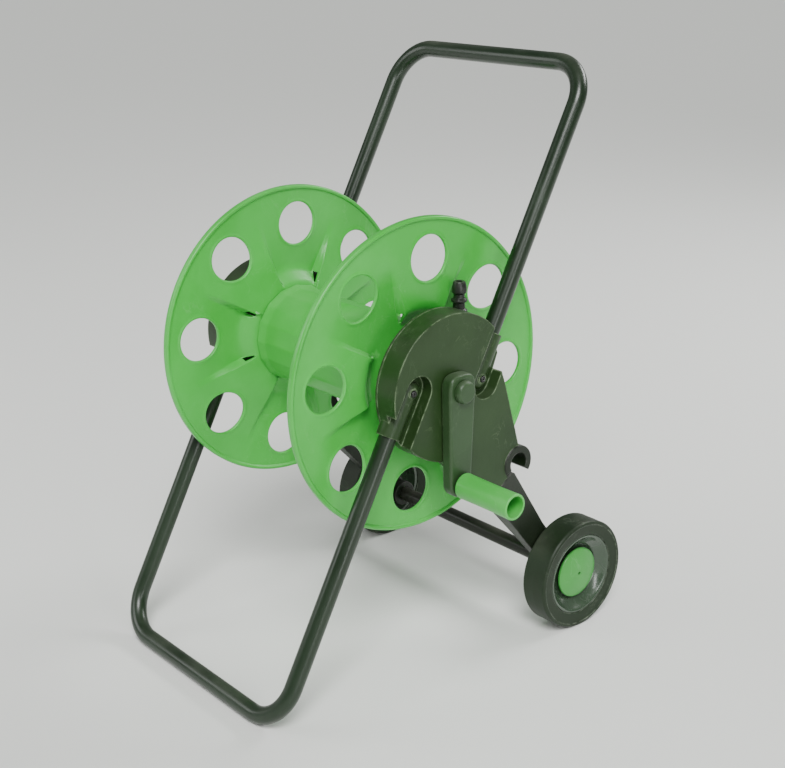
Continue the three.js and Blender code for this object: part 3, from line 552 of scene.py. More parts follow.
def tube_rod(radius, side, start_along, end_along, sides=48):
    """A cylinder round one of the tubes, the handle's (1) or the stand's (-1)."""
    middle = at(SLEEVE_X, 0, 0) + side * (off_tube * TUBE_OFFSET
                                          + along_tube * (start_along + end_along) / 2)
    bpy.ops.object.select_all(action="DESELECT")
    bpy.ops.mesh.primitive_cylinder_add(vertices=sides, radius=radius, location=middle,
                                        depth=end_along - start_along, rotation=(-TUBE_TILT, 0, 0))
    return placed(bpy.context.object)


def sleeve_half(side, plane_x, keep_outer):
    """A sleeve with a domed inner end, cut along the parting plane so that one half is left."""
    sleeve = tube_rod(SLEEVE_RADIUS, side, SLEEVE_START, SLEEVE_START + SLEEVE_LENGTH)
    foot = at(SLEEVE_X, 0, 0) - reel_axis + side * off_tube * TUBE_OFFSET
    bevelled(sleeve, lambda a, b: all(side * (p - foot).dot(along_tube) < SLEEVE_START + TINY
                                      for p in (a, b)), SLEEVE_ROUNDING, 6)
    bpy.ops.object.mode_set(mode="EDIT")
    bpy.ops.mesh.select_all(action="SELECT")
    bpy.ops.mesh.bisect(plane_co=at(plane_x, 0, 0), plane_no=(1, 0, 0), use_fill=True,
                        clear_inner=keep_outer, clear_outer=not keep_outer)
    bpy.ops.object.mode_set(mode="OBJECT")
    return sleeve


def tube_slot(side):
    """The round-ended recess in which a sleeve lies, open at the bracket's edge."""
    centre = side * (off_tube * TUBE_OFFSET + along_tube * SLOT_HALF_WIDTH)
    slot = rod_across(SLOT_HALF_WIDTH, SLOT_FLOOR_X, CUT_END_X, centre.y, centre.z, 64)
    for point in slot.data.vertices:
        reach = side * (point.co - at(0, centre.y, centre.z)).dot(along_tube)
        if reach > TINY:
            point.co += side * along_tube * (SLOT_REACH - reach)
    return slot


def hose_hook():
    """The hook's disc with a wedge-shaped mouth; the round notch is cut later."""
    mouth = [(HOOK_PLACE[0] + HOOK_REACH * math.cos(angle), HOOK_PLACE[1] + HOOK_REACH * math.sin(angle))
             for angle in HOOK_MOUTH]
    disc = rod_across(HOOK_RADIUS, BRACKET_INNER_X + TINY, HOOK_OUTER_X, *HOOK_PLACE, 64)
    bevelled(disc, lambda a, b: min(a.x, b.x) > HOOK_OUTER_X - TINY, HOOK_ROUNDING, 3)
    return cut(disc, plate_across([HOOK_PLACE, *mouth], CUT_START_X, CUT_END_X))


def tube_screw_place(side):
    """Where the screw through a sleeve sits, as distances from the reel's axis."""
    place = side * (off_tube * TUBE_OFFSET + along_tube * TUBE_SCREW_ALONG)
    return place.y, place.z


axle_y, axle_z = (axle_axis - reel_axis).yz


def bracket_bores():
    """The holes that go through the bracket and its cover alike."""
    return [
        tube_rod(TUBE_RADIUS + TUBE_CLEARANCE, 1, TUBE_END, LONG),
        tube_rod(TUBE_RADIUS + TUBE_CLEARANCE, -1, TUBE_END, LONG),
        rod_across(BUSH_RADIUS, CUT_START_X, CUT_END_X, 0, 0, 64),
        rod_across(AXLE_RADIUS, CUT_START_X, BRACKET_OUTER_X, axle_y, axle_z, 32),
        rod_across(HOOK_NOTCH_RADIUS, CUT_START_X, CUT_END_X, *HOOK_PLACE, 48),
    ]


def far_side_copy(piece):
    """A mirrored copy of a piece of the crank side for the far side."""
    only(piece)
    bpy.ops.object.duplicate()
    copy = bpy.context.object
    copy.scale.x = -1
    copy.location.x = 2 * reel_axis.x
    return outward(placed(copy))


def far_side_only(piece):
    """The piece's mirror image on the far side, in place of the piece itself."""
    far = far_side_copy(piece)
    bpy.data.objects.remove(piece)
    return far


def on_both_sides(piece, name, body, finish, slot, *, crease=32):
    """The piece on the crank side and its mirror image on the far side."""
    far = far_side_copy(piece)
    for side, one in (("crank_side_", piece), ("far_side_", far)):
        rides = body.replace("crank_side_", side)
        finished(one, side + name + "_moulding", rides, finish, slot, side + name, crease=crease)


strut_direction = strut_axis.normalized()
# The strut and the hose hook are coloured darker: their olive is multiplied by a dark tint.
leg_plastic = olive_plastic.copy()
leg_plastic.name = "olive_plastic_with_darkened_leg"
tree = leg_plastic.node_tree
shader = tree.nodes["Principled BSDF"]
where = node(tree, "TexCoord").outputs["Object"]
from_seam = node(tree, "VectorMath", {"operation": "SUBTRACT"}, _0=where, _1=reel_axis + STRUT_START)
below_seam = node(tree, "VectorMath", {"operation": "DOT_PRODUCT"}, _0=from_seam.outputs[0],
                  _1=strut_direction)
on_strut = node(tree, "Math", {"operation": "GREATER_THAN"}, _0=below_seam.outputs["Value"], _1=0.0)
side_view = node(tree, "VectorMath", {"operation": "MULTIPLY"}, _0=where, _1=(0, 1, 1))
from_hook = node(tree, "VectorMath", {"operation": "DISTANCE"}, _0=side_view.outputs[0],
                 _1=(0, *at(0, *HOOK_PLACE).yz))
on_hook = node(tree, "Math", {"operation": "LESS_THAN"}, _0=from_hook.outputs["Value"],
               _1=HOOK_RADIUS + TINY)
darkened_part = node(tree, "Math", {"operation": "MAXIMUM"}, _0=on_strut.outputs[0], _1=on_hook.outputs[0])
darkened = node(tree, "Mix", {"data_type": "RGBA", "blend_type": "MULTIPLY"}, _0=darkened_part.outputs[0],
                _6=shader.inputs["Base Color"].links[0].from_socket, _7=DARKENED_LEG_TINT)
tree.links.new(darkened.outputs[2], shader.inputs["Base Color"])


def leg_seam():
    """A thin bar along the line where the darker strut meets the olive leg."""
    corners = [STRUT_START + strut_side * side * HOOK_REACH + strut_direction * way * LEG_SEAM_HALF_WIDTH
               for side, way in ((-1, -1), (1, -1), (1, 1), (-1, 1))]
    return plate_across([(corner.y, corner.z) for corner in corners], LEG_SEAM_FLOOR_X, CUT_END_X)


shell = plate_across(bracket_outline(), BRACKET_INNER_X, BRACKET_OUTER_X)
thinned_strut(shell, BRACKET_OUTER_X, STRUT_OUTER_X)
bevelled(shell, lambda a, b: min(a.x, b.x) > STRUT_OUTER_X - TINY
         and abs((a - b).normalized().dot(strut_side)) < ALIGNED, SHELL_ROUNDING, 4)
cut(shell, tube_slot(1), tube_slot(-1), leg_seam())
screw_bosses = [rod_across(*TUBE_SCREW_BOSS, *tube_screw_place(side), 40) for side in (1, -1)]
join(shell, sleeve_half(1, BRACKET_INNER_X, True), sleeve_half(-1, BRACKET_INNER_X, True),
     rod_across(BOSS_RADIUS, BOSS_INNER_X, BOSS_OUTER_X, axle_y, axle_z, 64),
     hose_hook(), *screw_bosses)
cut(shell, *bracket_bores(),
    rod_across(CROSS_TUBE_SOCKET_RADIUS, CUT_START_X, BRACKET_INNER_X, axle_y, axle_z, 48),
    *[rod_across(*TUBE_SCREW_SINK, *tube_screw_place(side), 32) for side in (1, -1)])
on_both_sides(shell, "bracket", "frame", leg_plastic, "bracket")

cover = plate_across(bracket_outline(), COVER_INNER_X, COVER_OUTER_X)
bevelled(cover, lambda a, b: max(a.x, b.x) < COVER_INNER_X + TINY, COVER_ROUNDING, 2)
join(cover, sleeve_half(1, COVER_OUTER_X, False), sleeve_half(-1, COVER_OUTER_X, False))
cut(cover, *bracket_bores(),
    rod_across(BOSS_RADIUS + TUBE_CLEARANCE, CUT_START_X, CUT_END_X, axle_y, axle_z, 64),
    *[rod_across(SCREW_HOLE_RADIUS, CUT_START_X, CUT_END_X, y, z, 24) for y, z in COVER_SCREW_PLACES])
on_both_sides(cover, "bracket_cover", "frame", leg_plastic, "bracket")

# ---- Reel flanges --------------------------------------------------------------------------------
# Two moulded discs of light green plastic with eight round holes. Sectors that slope to the hub
# alternate with flat ones that step down to it, and the rim and the holes' lips are rolled thick.

FLANGE_X = 0.1135
FLANGE_DISH = 0.012
FLANGE_HALF_THICKNESS = 0.0015
RIM_START = 0.165
HUB_RADIUS = 0.057
HUB_HOLE_RADIUS = 0.0185
FLAT_STEP_END = 0.075
SLOPE_END = 0.145
SECTORS = 8
SECTOR_ANGLE = 2 * math.pi / SECTORS
FIRST_HOLE_ANGLE = math.radians(84.5)
HOLE_CIRCLE = 0.126
HOLE_RADIUS = 0.0245
CREASE_HALF_ANGLE = math.radians(1.5)
CREASE_STEPS = 6
SIDE_STEPS = 20
OUTER_STEPS = 16
INNER_STEPS = 6
HUB_RINGS = (0.024, 0.034, 0.044, 0.052)
STEP_GROWTH = 1.35
CREASE_SLOT = (0.0635, 0.0745)
LIP_PROFILE = [(0.0, 0.0006), (0.0003, 0.0016), (0.0009, 0.0021), (0.0019, 0.0023), (0.0029, 0.0020),
               (0.0038, 0.0015)]
RIM_PROFILE = [(0.0004, 0.0024), (0.0010, 0.0034), (0.0019, 0.0040), (0.0034, 0.0040),
               (0.0044, 0.0033), (0.0050, 0.0020)]
RING_SHARES = [0.12, 0.25, 0.4, 0.55, 0.7, 0.85, 1.0]

reel_plastic = surface("light_green_moulded_plastic", (0.034, 0.405, 0.035, 1), (0.058, 0.480, 0.060, 1),
                       (0.22, 0.56, 0.20, 1), roughness=0.34, grain=1300, grain_depth=0.00005,
                       edge_radius=0.0009, edge_share=0.45, dust_share=0.10)


def eased(value, low, high):
    """A share from 0 to 1 between two bounds, with a soft start and end."""
    share = min(max((value - low) / (high - low), 0), 1)
    return share * share * (3 - 2 * share)


def dish(radius, angle):
    """How far the flange leans in from its rim's plane at a place."""
    turns = (angle - FIRST_HOLE_ANGLE) / SECTOR_ANGLE
    sector = round(turns)
    to_crease = (0.5 - abs(turns - sector)) * SECTOR_ANGLE
    own = 0.5 + 0.5 * eased(to_crease, 0, CREASE_HALF_ANGLE)
    sloping = own if sector % 2 else 1 - own
    slope = 1 - eased(radius, HUB_RADIUS, SLOPE_END)
    step = 1 - eased(radius, HUB_RADIUS, FLAT_STEP_END)
    return FLANGE_DISH * (sloping * slope + (1 - sloping) * step)


class FlangeSkin:
    """The flange's outer skin as points and faces; its inner skin is the same a thickness further in."""

    def __init__(self):
        self.known = {}
        self.outer, self.inner, self.faces = [], [], []

    def point(self, y, z, half_thickness=FLANGE_HALF_THICKNESS):
        key = (round(y * 1e7), round(z * 1e7))
        if key not in self.known:
            self.known[key] = len(self.outer)
            middle = FLANGE_X - dish(math.hypot(y, z), math.atan2(z, y))
            self.outer.append(at(middle + half_thickness, y, z))
            self.inner.append(at(middle - half_thickness, y, z))
        return self.known[key]

    def rows(self, rows):
        """Fills the quads between rows of points."""
        for row, after in zip(rows, rows[1:]):
            for step in range(len(row) - 1):
                self.faces.append((row[step], row[step + 1], after[step + 1], after[step]))

    def mesh(self, name):
        """Both skins, joined by a wall round every open edge."""
        count = len(self.outer)
        open_edges = set()
        for face in self.faces:
            for a, b in zip(face, face[1:] + face[:1]):
                open_edges ^= {(min(a, b), max(a, b))}
        walls = [(b, a, a + count, b + count) for a, b in sorted(open_edges)]
        inner_faces = [tuple(count + i for i in reversed(face)) for face in self.faces]
        mesh = bpy.data.meshes.new(name)
        mesh.from_pydata(self.outer + self.inner, [], self.faces + inner_faces + walls)
        return mesh


def polar(radius, angle):
    """A point at a distance and an angle round the axis."""
    return radius * math.cos(angle), radius * math.sin(angle)


def side_radius(step):
    """Radii along a crease, closer together near the hub where the skin is steep."""
    return HUB_RADIUS + (RIM_START - HUB_RADIUS) * (step / SIDE_STEPS) ** STEP_GROWTH


skin = FlangeSkin()
half_sector = SECTOR_ANGLE / 2 - CREASE_HALF_ANGLE
hub_angles, rim_angles = [], []
for sector in range(SECTORS):
    middle = FIRST_HOLE_ANGLE + sector * SECTOR_ANGLE
    hole = Vector(polar(HOLE_CIRCLE, middle))
    start, stop = middle - half_sector, middle + half_sector
    inner_arc = [start + (stop - start) * i / INNER_STEPS for i in range(INNER_STEPS + 1)]
    outer_arc = [stop + (start - stop) * i / OUTER_STEPS for i in range(OUTER_STEPS + 1)]
    crease_arc = [stop + 2 * CREASE_HALF_ANGLE * i / CREASE_STEPS for i in range(CREASE_STEPS + 1)]
    border = [polar(HUB_RADIUS, angle) for angle in inner_arc]
    border += [polar(side_radius(i), stop) for i in range(1, SIDE_STEPS + 1)]
    border += [polar(RIM_START, angle) for angle in outer_arc[1:]]
    border += [polar(side_radius(i), start) for i in range(SIDE_STEPS - 1, -1, -1)]
    rays = [(Vector(point) - hole) for point in border]
    rings = [[skin.point(*(hole + ray.normalized() * (HOLE_RADIUS + out)), half) for ray in rays]
             for out, half in LIP_PROFILE]
    lip_end = HOLE_RADIUS + LIP_PROFILE[-1][0]
    rings += [[skin.point(*(hole + ray.normalized() * (lip_end + (ray.length - lip_end) * share)))
               for ray in rays] for share in RING_SHARES]
    skin.rows(rings)
    columns = [[skin.point(*polar(side_radius(i), angle)) for i in range(SIDE_STEPS + 1)]
               for angle in crease_arc]
    for low_step in range(SIDE_STEPS):
        centre = (side_radius(low_step) + side_radius(low_step + 1)) / 2
        if not CREASE_SLOT[0] < centre < CREASE_SLOT[1]:
            skin.rows([column[low_step:low_step + 2][::-1] for column in columns])
        else:
            skin.rows([column[low_step:low_step + 2][::-1] for column in columns[:2]])
            skin.rows([column[low_step:low_step + 2][::-1] for column in columns[-2:]])
    hub_angles += inner_arc[:-1] + crease_arc[:-1]
    rim_angles += outer_arc[::-1][:-1] + crease_arc[:-1]

hub_angles.append(hub_angles[0] + 2 * math.pi)
rim_angles.append(rim_angles[0] + 2 * math.pi)
hub_radii = [HUB_HOLE_RADIUS, *HUB_RINGS, HUB_RADIUS]
skin.rows([[skin.point(*polar(radius, angle)) for angle in hub_angles] for radius in hub_radii])
rim_rows = [[skin.point(*polar(RIM_START, angle)) for angle in rim_angles]]
rim_rows += [[skin.point(*polar(RIM_START + out, angle), half) for angle in rim_angles]
             for out, half in RIM_PROFILE]
skin.rows(rim_rows)

bpy.ops.object.select_all(action="DESELECT")
flange = bpy.data.objects.new("flange", skin.mesh("flange"))
bpy.context.collection.objects.link(flange)
outward(flange)
on_both_sides(flange, "flange", "reel", reel_plastic, "reel_green", crease=50)

# ---- Drum ----------------------------------------------------------------------------------------
# A sixteen-sided tube moulded in the same green, on which the hose is wound. It flares out to the
# flanges' hub plates, and a round hole in its wall lets the hose reach the outlet inside.

DRUM_RADIUS = 0.054
DRUM_SIDES = 16
DRUM_HALF_LENGTH = 0.0987
DRUM_FLARE_START = 0.088
DRUM_WALL = 0.003
DRUM_ROUNDING = 0.0022
OUTLET_X = 0.066
OUTLET_HOLE_RADIUS = 0.013
OUTLET_CUT = 0.04

bpy.ops.object.select_all(action="DESELECT")
bpy.ops.mesh.primitive_cylinder_add(
    vertices=DRUM_SIDES, radius=DRUM_RADIUS, depth=2 * DRUM_HALF_LENGTH, end_fill_type="NOTHING",
    location=reel_axis, rotation=(0, math.pi / 2, 0))
drum = placed(bpy.context.object)
bpy.ops.object.mode_set(mode="EDIT")
for plane_x in (-DRUM_FLARE_START, DRUM_FLARE_START):
    bpy.ops.mesh.select_all(action="SELECT")
    bpy.ops.mesh.bisect(plane_co=at(plane_x, 0, 0), plane_no=(1, 0, 0))
bpy.ops.object.mode_set(mode="OBJECT")
for point in drum.data.vertices:
    away = point.co - reel_axis
    if abs(away.x) > DRUM_HALF_LENGTH - TINY:
        point.co += Vector((0, away.y, away.z)).normalized() * (HUB_RADIUS - DRUM_RADIUS)
outward(drum)
bevelled(drum, lambda a, b: abs(a.x - b.x) > TINY, DRUM_ROUNDING, 3)
changed(drum, "SOLIDIFY", thickness=DRUM_WALL, offset=-1)
bpy.ops.mesh.primitive_cylinder_add(vertices=48, radius=OUTLET_HOLE_RADIUS, depth=OUTLET_CUT,
                                    location=at(OUTLET_X, 0, -DRUM_RADIUS))
cut(drum, bpy.context.object)
finished(drum, "drum_moulding", "reel", reel_plastic, "reel_green", "drum", crease=14)

# ---- Spindles and bearings -----------------------------------------------------------------------
# The reel turns on two black moulded spindles with broad collars behind the hub plates. They run in
# white acetal bushes pressed into the brackets. Rubber rings seal the water's way into one spindle.

SPINDLE_RADIUS = 0.011
COLLAR_RADIUS = 0.030
COLLAR_THICKNESS = 0.0035
HUB_FACE_X = FLANGE_X - FLANGE_DISH - FLANGE_HALF_THICKNESS
CLEARANCE = 0.0003
COLLAR_X = HUB_FACE_X - COLLAR_THICKNESS
STEP_X = HUB_FACE_X - CLEARANCE

black_plastic = surface("black_moulded_plastic", (0.008, 0.011, 0.007, 1), (0.013, 0.016, 0.011, 1),
                        (0.06, 0.07, 0.055, 1), roughness=0.38, grain=1500, grain_depth=0.00006,
                        edge_share=0.4, dust_share=0.16)
acetal = surface("white_acetal", (0.66, 0.66, 0.60, 1), (0.72, 0.72, 0.67, 1), (0.8, 0.8, 0.76, 1),
                 roughness=0.34, grain=1100, grain_depth=0.00003, dust_share=0.25)
seal_rubber = surface("black_seal_rubber", (0.010, 0.010, 0.010, 1), (0.016, 0.016, 0.016, 1),
                      (0.03, 0.03, 0.03, 1), roughness=0.55, grain=900, grain_depth=0.00004)
zinc = surface("zinc_plated_steel", (0.50, 0.51, 0.50, 1), (0.58, 0.58, 0.55, 1), (0.7, 0.7, 0.68, 1),
               roughness=0.30, grain=2400, grain_depth=0.00002, metallic=1.0, mottle=160.0)
dark_steel = surface("blackened_steel", (0.035, 0.036, 0.036, 1), (0.05, 0.05, 0.05, 1),
                     (0.25, 0.25, 0.24, 1), roughness=0.38, grain=1800, grain_depth=0.00002,
                     metallic=0.8, edge_share=0.6, mottle=160.0)


def spun(points, centre, axis, steps):
    """A round piece: a line of points spun all the way round an axis."""
    mesh = bpy.data.meshes.new("spun")
    mesh.from_pydata(points, [(i, i + 1) for i in range(len(points) - 1)], [])
    piece = bpy.data.objects.new("spun", mesh)
    bpy.context.collection.objects.link(piece)
    only(piece)
    bpy.ops.object.mode_set(mode="EDIT")
    bpy.ops.mesh.select_all(action="SELECT")
    bpy.ops.mesh.spin(steps=steps, angle=2 * math.pi, center=centre, axis=axis)
    bpy.ops.object.mode_set(mode="OBJECT")
    return outward(piece)


def turned(profile, y=0.0, z=0.0, steps=64):
    """A round piece that lies across the cart, from a line of (radius, x) points."""
    return spun([at(x, y, z + radius) for radius, x in profile], at(0, y, z), (1, 0, 0), steps)


def arc(centre, radius, start, stop, steps=6):
    """Points of a round corner in a profile, from one angle in degrees to another."""
    angles = [math.radians(start + (stop - start) * step / steps) for step in range(steps + 1)]
    return [(centre[0] + radius * math.sin(angle), centre[1] + radius * math.cos(angle))
            for angle in angles]


collar = [(COLLAR_RADIUS, COLLAR_X), (COLLAR_RADIUS, STEP_X), (0.0176, STEP_X), (0.0176, 0.1045),
          (0.0165, 0.106), (SPINDLE_RADIUS, 0.107)]
inlet_spindle = turned([(0.005, COLLAR_X), *collar, (SPINDLE_RADIUS, 0.168),
                        (0.0068, 0.168), (0.0068, 0.178), (0.0019, 0.178), (0.0019, 0.165),
                        (0.0, 0.165), (0.0, 0.131), (0.005, 0.131), (0.005, COLLAR_X)])
finished(inlet_spindle, "inlet_spindle_turned", "reel", black_plastic, "fitting_black", "inlet_spindle")
plain_spindle = turned([(0.0, COLLAR_X), *collar, (SPINDLE_RADIUS, 0.1675),
                        (0.0019, 0.1675), (0.0019, 0.155), (0.0, 0.155)])
finished(far_side_only(plain_spindle), "far_side_spindle_turned", "reel", black_plastic,
         "fitting_black", "far_side_spindle")
bush = turned([(0.0113, 0.1346), (0.0184, 0.1346), (0.019, 0.1352), (0.019, 0.1361), (0.015, 0.1361),
               (0.015, 0.1658), (0.0144, 0.1664), (0.0113, 0.1664), (0.0113, 0.1346)])
on_both_sides(bush, "bearing_bush", "frame", acetal, "bush")

for node_name in ("inner_water_seal", "outer_water_seal"):
    frame["nodes"][node_name].material_slots[0].material = seal_rubber
frame["nodes"]["outlet_elbow"].material_slots[0].material = black_plastic
for node_name in ("crank_screw", "far_side_spindle_screw", "axle_rod", "crank_side_wheel_washer",
                  "far_side_wheel_washer", "crank_side_axle_push_nut", "far_side_axle_push_nut"):
    frame["nodes"][node_name].material_slots[0].material = zinc

# ---- Water inlet ---------------------------------------------------------------------------------
# A black moulded swivel sits round the spindle between the flange and the bracket. Its elbow turns
# up behind the bracket's disc and ends in a ribbed quick connector for the tap hose.

INLET_X = 0.127
INLET_Y = 0.044
INLET_TOP = 0.060
ELBOW_START_Y = 0.0135
ELBOW_RADIUS = 0.007
ELBOW_BEND = 0.016

swivel = turned([(0.0123, 0.120), *arc((0.0165, 0.1215), 0.0015, 180, 90, 3),
                 *arc((0.0165, 0.1325), 0.0015, 90, 0, 3), (0.0123, 0.134), (0.0123, 0.120)])
bpy.ops.object.select_all(action="DESELECT")
bpy.ops.mesh.primitive_circle_add(vertices=40, radius=ELBOW_RADIUS, fill_type="NGON",
                                  location=at(INLET_X, ELBOW_START_Y, 0), rotation=(-math.pi / 2, 0, 0))
elbow = bpy.context.object
bpy.ops.object.mode_set(mode="EDIT")
bpy.ops.mesh.select_all(action="SELECT")
straight = INLET_Y - ELBOW_BEND - ELBOW_START_Y
bpy.ops.mesh.extrude_region_move(TRANSFORM_OT_translate={"value": (0, straight, 0)})
bpy.ops.mesh.spin(steps=12, angle=math.pi / 2, axis=(-1, 0, 0),
                  center=at(INLET_X, INLET_Y - ELBOW_BEND, ELBOW_BEND))
bpy.ops.mesh.extrude_region_move(TRANSFORM_OT_translate={"value": (0, 0, INLET_TOP - ELBOW_BEND)})
bpy.ops.object.mode_set(mode="OBJECT")
outward(elbow)
join(swivel, elbow)
finished(swivel, "inlet_elbow_moulding", "frame", black_plastic, "fitting_black", "inlet_elbow")

stem = [(0.0035, 0.0), (0.0084, 0.0), (0.009, 0.0006), (0.009, 0.0064), (0.0084, 0.007), (0.0064, 0.0085),
        (0.0062, 0.0148), (0.0080, 0.0156), (0.0086, 0.0162), (0.0086, 0.0182), (0.0080, 0.0188),
        (0.0060, 0.0198), (0.0058, 0.0238), (0.0074, 0.0252), (0.0080, 0.0262), (0.0080, 0.0312),
        (0.0074, 0.0330), (0.0065, 0.0368), (0.0058, 0.0375), (0.0035, 0.0375), (0.0035, 0.0)]
stem_foot = INLET_TOP + CLEARANCE
connector = spun([at(INLET_X, INLET_Y + radius, stem_foot + height) for radius, height in stem],
                 at(INLET_X, INLET_Y, 0), (0, 0, 1), 48)
finished(connector, "inlet_connector_turned", "frame", black_plastic, "fitting_black",
         "inlet_connector")

# ---- Crank and grip ------------------------------------------------------------------------------
# An olive moulded arm, a channel open towards the bracket, screwed to the spindle's outer end
# under a domed cap. A hollow bright green grip turns on a black pin at its lower end.

CRANK_INNER_X = 0.169
CRANK_OUTER_X = 0.182
CRANK_LENGTH = 0.102
CRANK_RADII = (0.018, 0.0145)
CRANK_CORNERS = 3.2
CRANK_WALL = 0.003
CRANK_FACE_ROUNDING = 0.003
CRANK_BACK_ROUNDING = 0.0006
CRANK_CUT_START_X = 0.168
BEHIND_CRANK_X = 0.16
PAST_CRANK_X = 0.19
SPINDLE_BOSS_RADIUS = 0.013
SPINDLE_SOCKET_RADIUS = 0.0099
SPINDLE_SOCKET_END_X = 0.1785
PIN_BOSS_RADIUS = 0.008
PIN_HOLE_RADIUS = 0.0043
CRANK_CAP_SIZE = 0.78
END_CAP_SIZE = 1.0
GRIP_START_X = 0.1857
GRIP_END_X = 0.260
GRIP_RADIUS = 0.014

# The light edge colour, spread wide and strong, is a painted highlight along the crank's rounded edges.
crank_plastic = surface("olive_crank_plastic", (0.017, 0.047, 0.013, 1), (0.030, 0.068, 0.024, 1),
                        (0.24, 0.33, 0.19, 1), roughness=0.38, grain=1500, grain_depth=0.00008,
                        edge_radius=0.0022, edge_share=0.7, dust_share=0.12, shine=0.4)
grip_plastic = surface("bright_green_grip_plastic", (0.048, 0.400, 0.050, 1), (0.075, 0.470, 0.075, 1),
                       (0.28, 0.60, 0.27, 1), roughness=0.34, grain=1700, grain_depth=0.00007,
                       edge_share=0.5, marks_share=0.16)


def arm_outline(shrink, steps=24):
    """The crank's outline: a large half round above, a smaller one below and straight sides."""
    points = []
    for centre_z, radius, start in ((0, CRANK_RADII[0], 0), (-CRANK_LENGTH, CRANK_RADII[1], math.pi)):
        for step in range(steps + 1):
            angle = start + math.pi * step / steps
            y, z = polar(1, angle)
            squareness = CRANK_CORNERS if centre_z == 0 else 2
            reach = (abs(y) ** squareness + abs(z) ** squareness) ** (-1 / squareness)
            y, z = polar((radius - shrink) * reach, angle)
            points.append((y, centre_z + z))
    return points


crank = plate_across(arm_outline(0), CRANK_INNER_X, CRANK_OUTER_X)
bevelled(crank, lambda a, b: min(a.x, b.x) > CRANK_OUTER_X - TINY, CRANK_FACE_ROUNDING, 6)
bevelled(crank, lambda a, b: max(a.x, b.x) < CRANK_INNER_X + TINY, CRANK_BACK_ROUNDING, 2)
channel = plate_across(arm_outline(CRANK_WALL), CRANK_CUT_START_X, CRANK_OUTER_X - CRANK_WALL)
cut(channel, rod_across(SPINDLE_BOSS_RADIUS, BEHIND_CRANK_X, PAST_CRANK_X),
    rod_across(PIN_BOSS_RADIUS, BEHIND_CRANK_X, PAST_CRANK_X, 0, -CRANK_LENGTH))
cut(crank, channel, rod_across(SPINDLE_SOCKET_RADIUS, CRANK_CUT_START_X, SPINDLE_SOCKET_END_X),
    rod_across(SCREW_HOLE_RADIUS, CRANK_INNER_X, PAST_CRANK_X, 0, 0, 24),
    rod_across(PIN_HOLE_RADIUS, CRANK_CUT_START_X, PAST_CRANK_X, 0, -CRANK_LENGTH, 32))
finished(crank, "crank_arm_moulding", "reel", crank_plastic, "bracket", "crank_arm")


def cap_profile(x, size):
    """The domed cap's outline, with its rim at one distance, drawn larger or smaller."""
    profile = [(0.0, 0.0044), (0.013, 0.004), (0.013, 0.0), (0.0154, 0.0), (0.016, 0.0006),
               (0.016, 0.0026), *arc((0.0105, 0.0018), 0.0055, 78, 12, 8), (0.007, 0.00705),
               (0.0, 0.0072)]
    return [(radius * size, x + height) for radius, height in profile]


crank_cap = turned(cap_profile(CRANK_OUTER_X + CLEARANCE, CRANK_CAP_SIZE))
finished(crank_cap, "crank_cap_moulding", "reel", crank_plastic, "bracket", "crank_cap")
end_cap = turned(cap_profile(BRACKET_OUTER_X + CLEARANCE, END_CAP_SIZE))
finished(far_side_only(end_cap), "far_side_end_cap_moulding", "reel", olive_plastic, "bracket",
         "far_side_end_cap")

pin = turned([(0.0, 0.170), (0.004, 0.170), (0.004, 0.1824), (0.0084, 0.1824), (0.009, 0.183),
              (0.009, 0.1848), (0.0084, 0.1854), (0.004, 0.1854), (0.004, 0.241), (0.006, 0.241),
              (0.006, 0.2425), (0.0045, 0.2445), (0.0, 0.245)], 0, -CRANK_LENGTH, 48)
finished(pin, "grip_pin_turned", "reel", black_plastic, "fitting_black", "grip_pin")

grip = turned([(0.0044, GRIP_START_X), (0.0125, GRIP_START_X), *arc((0.0122, GRIP_START_X + 0.0018),
               0.0018, 150, 90, 4), (0.0137, 0.205), (0.0136, 0.235),
               (GRIP_RADIUS, GRIP_END_X - 0.0016), *arc((0.0126, GRIP_END_X - 0.0014), 0.0014, 80, 0, 4),
               *arc((0.0122, GRIP_END_X - 0.0008), 0.0008, -10, -90, 3), (0.0112, 0.192),
               (0.0074, 0.192), (0.0074, 0.2406), (0.0044, 0.2406), (0.0044, GRIP_START_X)],
              0, -CRANK_LENGTH, 72)
finished(grip, "grip_moulding", "grip", grip_plastic, "grip_green", "grip")

# ---- Axle and wheels -----------------------------------------------------------------------------
# A black steel cross tube spans the two struts, with the axle rod inside it. Each wheel is a
# moulded rim with a deep bowl, a broad smooth tyre and a domed light green hub cap.

WHEEL_RADIUS = axle_axis.z
WHEEL_INNER_X = 0.153
WHEEL_OUTER_X = 0.187
RIM_RADIUS = 0.048
TYRE_SHOULDER = 0.0034
CROSS_TUBE_INSERT = 0.0117

# The light edge colour is a painted highlight ring along the tyre's rounded shoulders.
tyre_rubber = surface("black_tyre_rubber", (0.008, 0.018, 0.006, 1), (0.014, 0.026, 0.011, 1),
                      (0.22, 0.26, 0.20, 1), roughness=0.50, grain=1000, grain_depth=0.00010,
                      edge_radius=0.0020, edge_share=0.7, dust_share=0.12, shine=0.3)
rim_plastic = surface("black_rim_plastic", (0.020, 0.042, 0.020, 1), (0.030, 0.056, 0.030, 1),
                      (0.08, 0.10, 0.08, 1), roughness=0.24, grain=1500, grain_depth=0.00003,
                      edge_share=0.4, dust_share=0.12, coat=0.5)
hub_plastic = surface("hub_cap_plastic", (0.034, 0.270, 0.036, 1), (0.050, 0.320, 0.050, 1),
                      (0.28, 0.60, 0.27, 1), roughness=0.34, grain=1700, grain_depth=0.00005,
                      edge_share=0.5, marks_share=0.16)
black_paint = surface("black_tube_paint", (0.006, 0.009, 0.004, 1), (0.010, 0.013, 0.006, 1),
                      (0.12, 0.12, 0.11, 1), roughness=0.36, grain=600, grain_depth=0.00005,
                      dust_share=0.1, coat=0.1, shine=0.3)

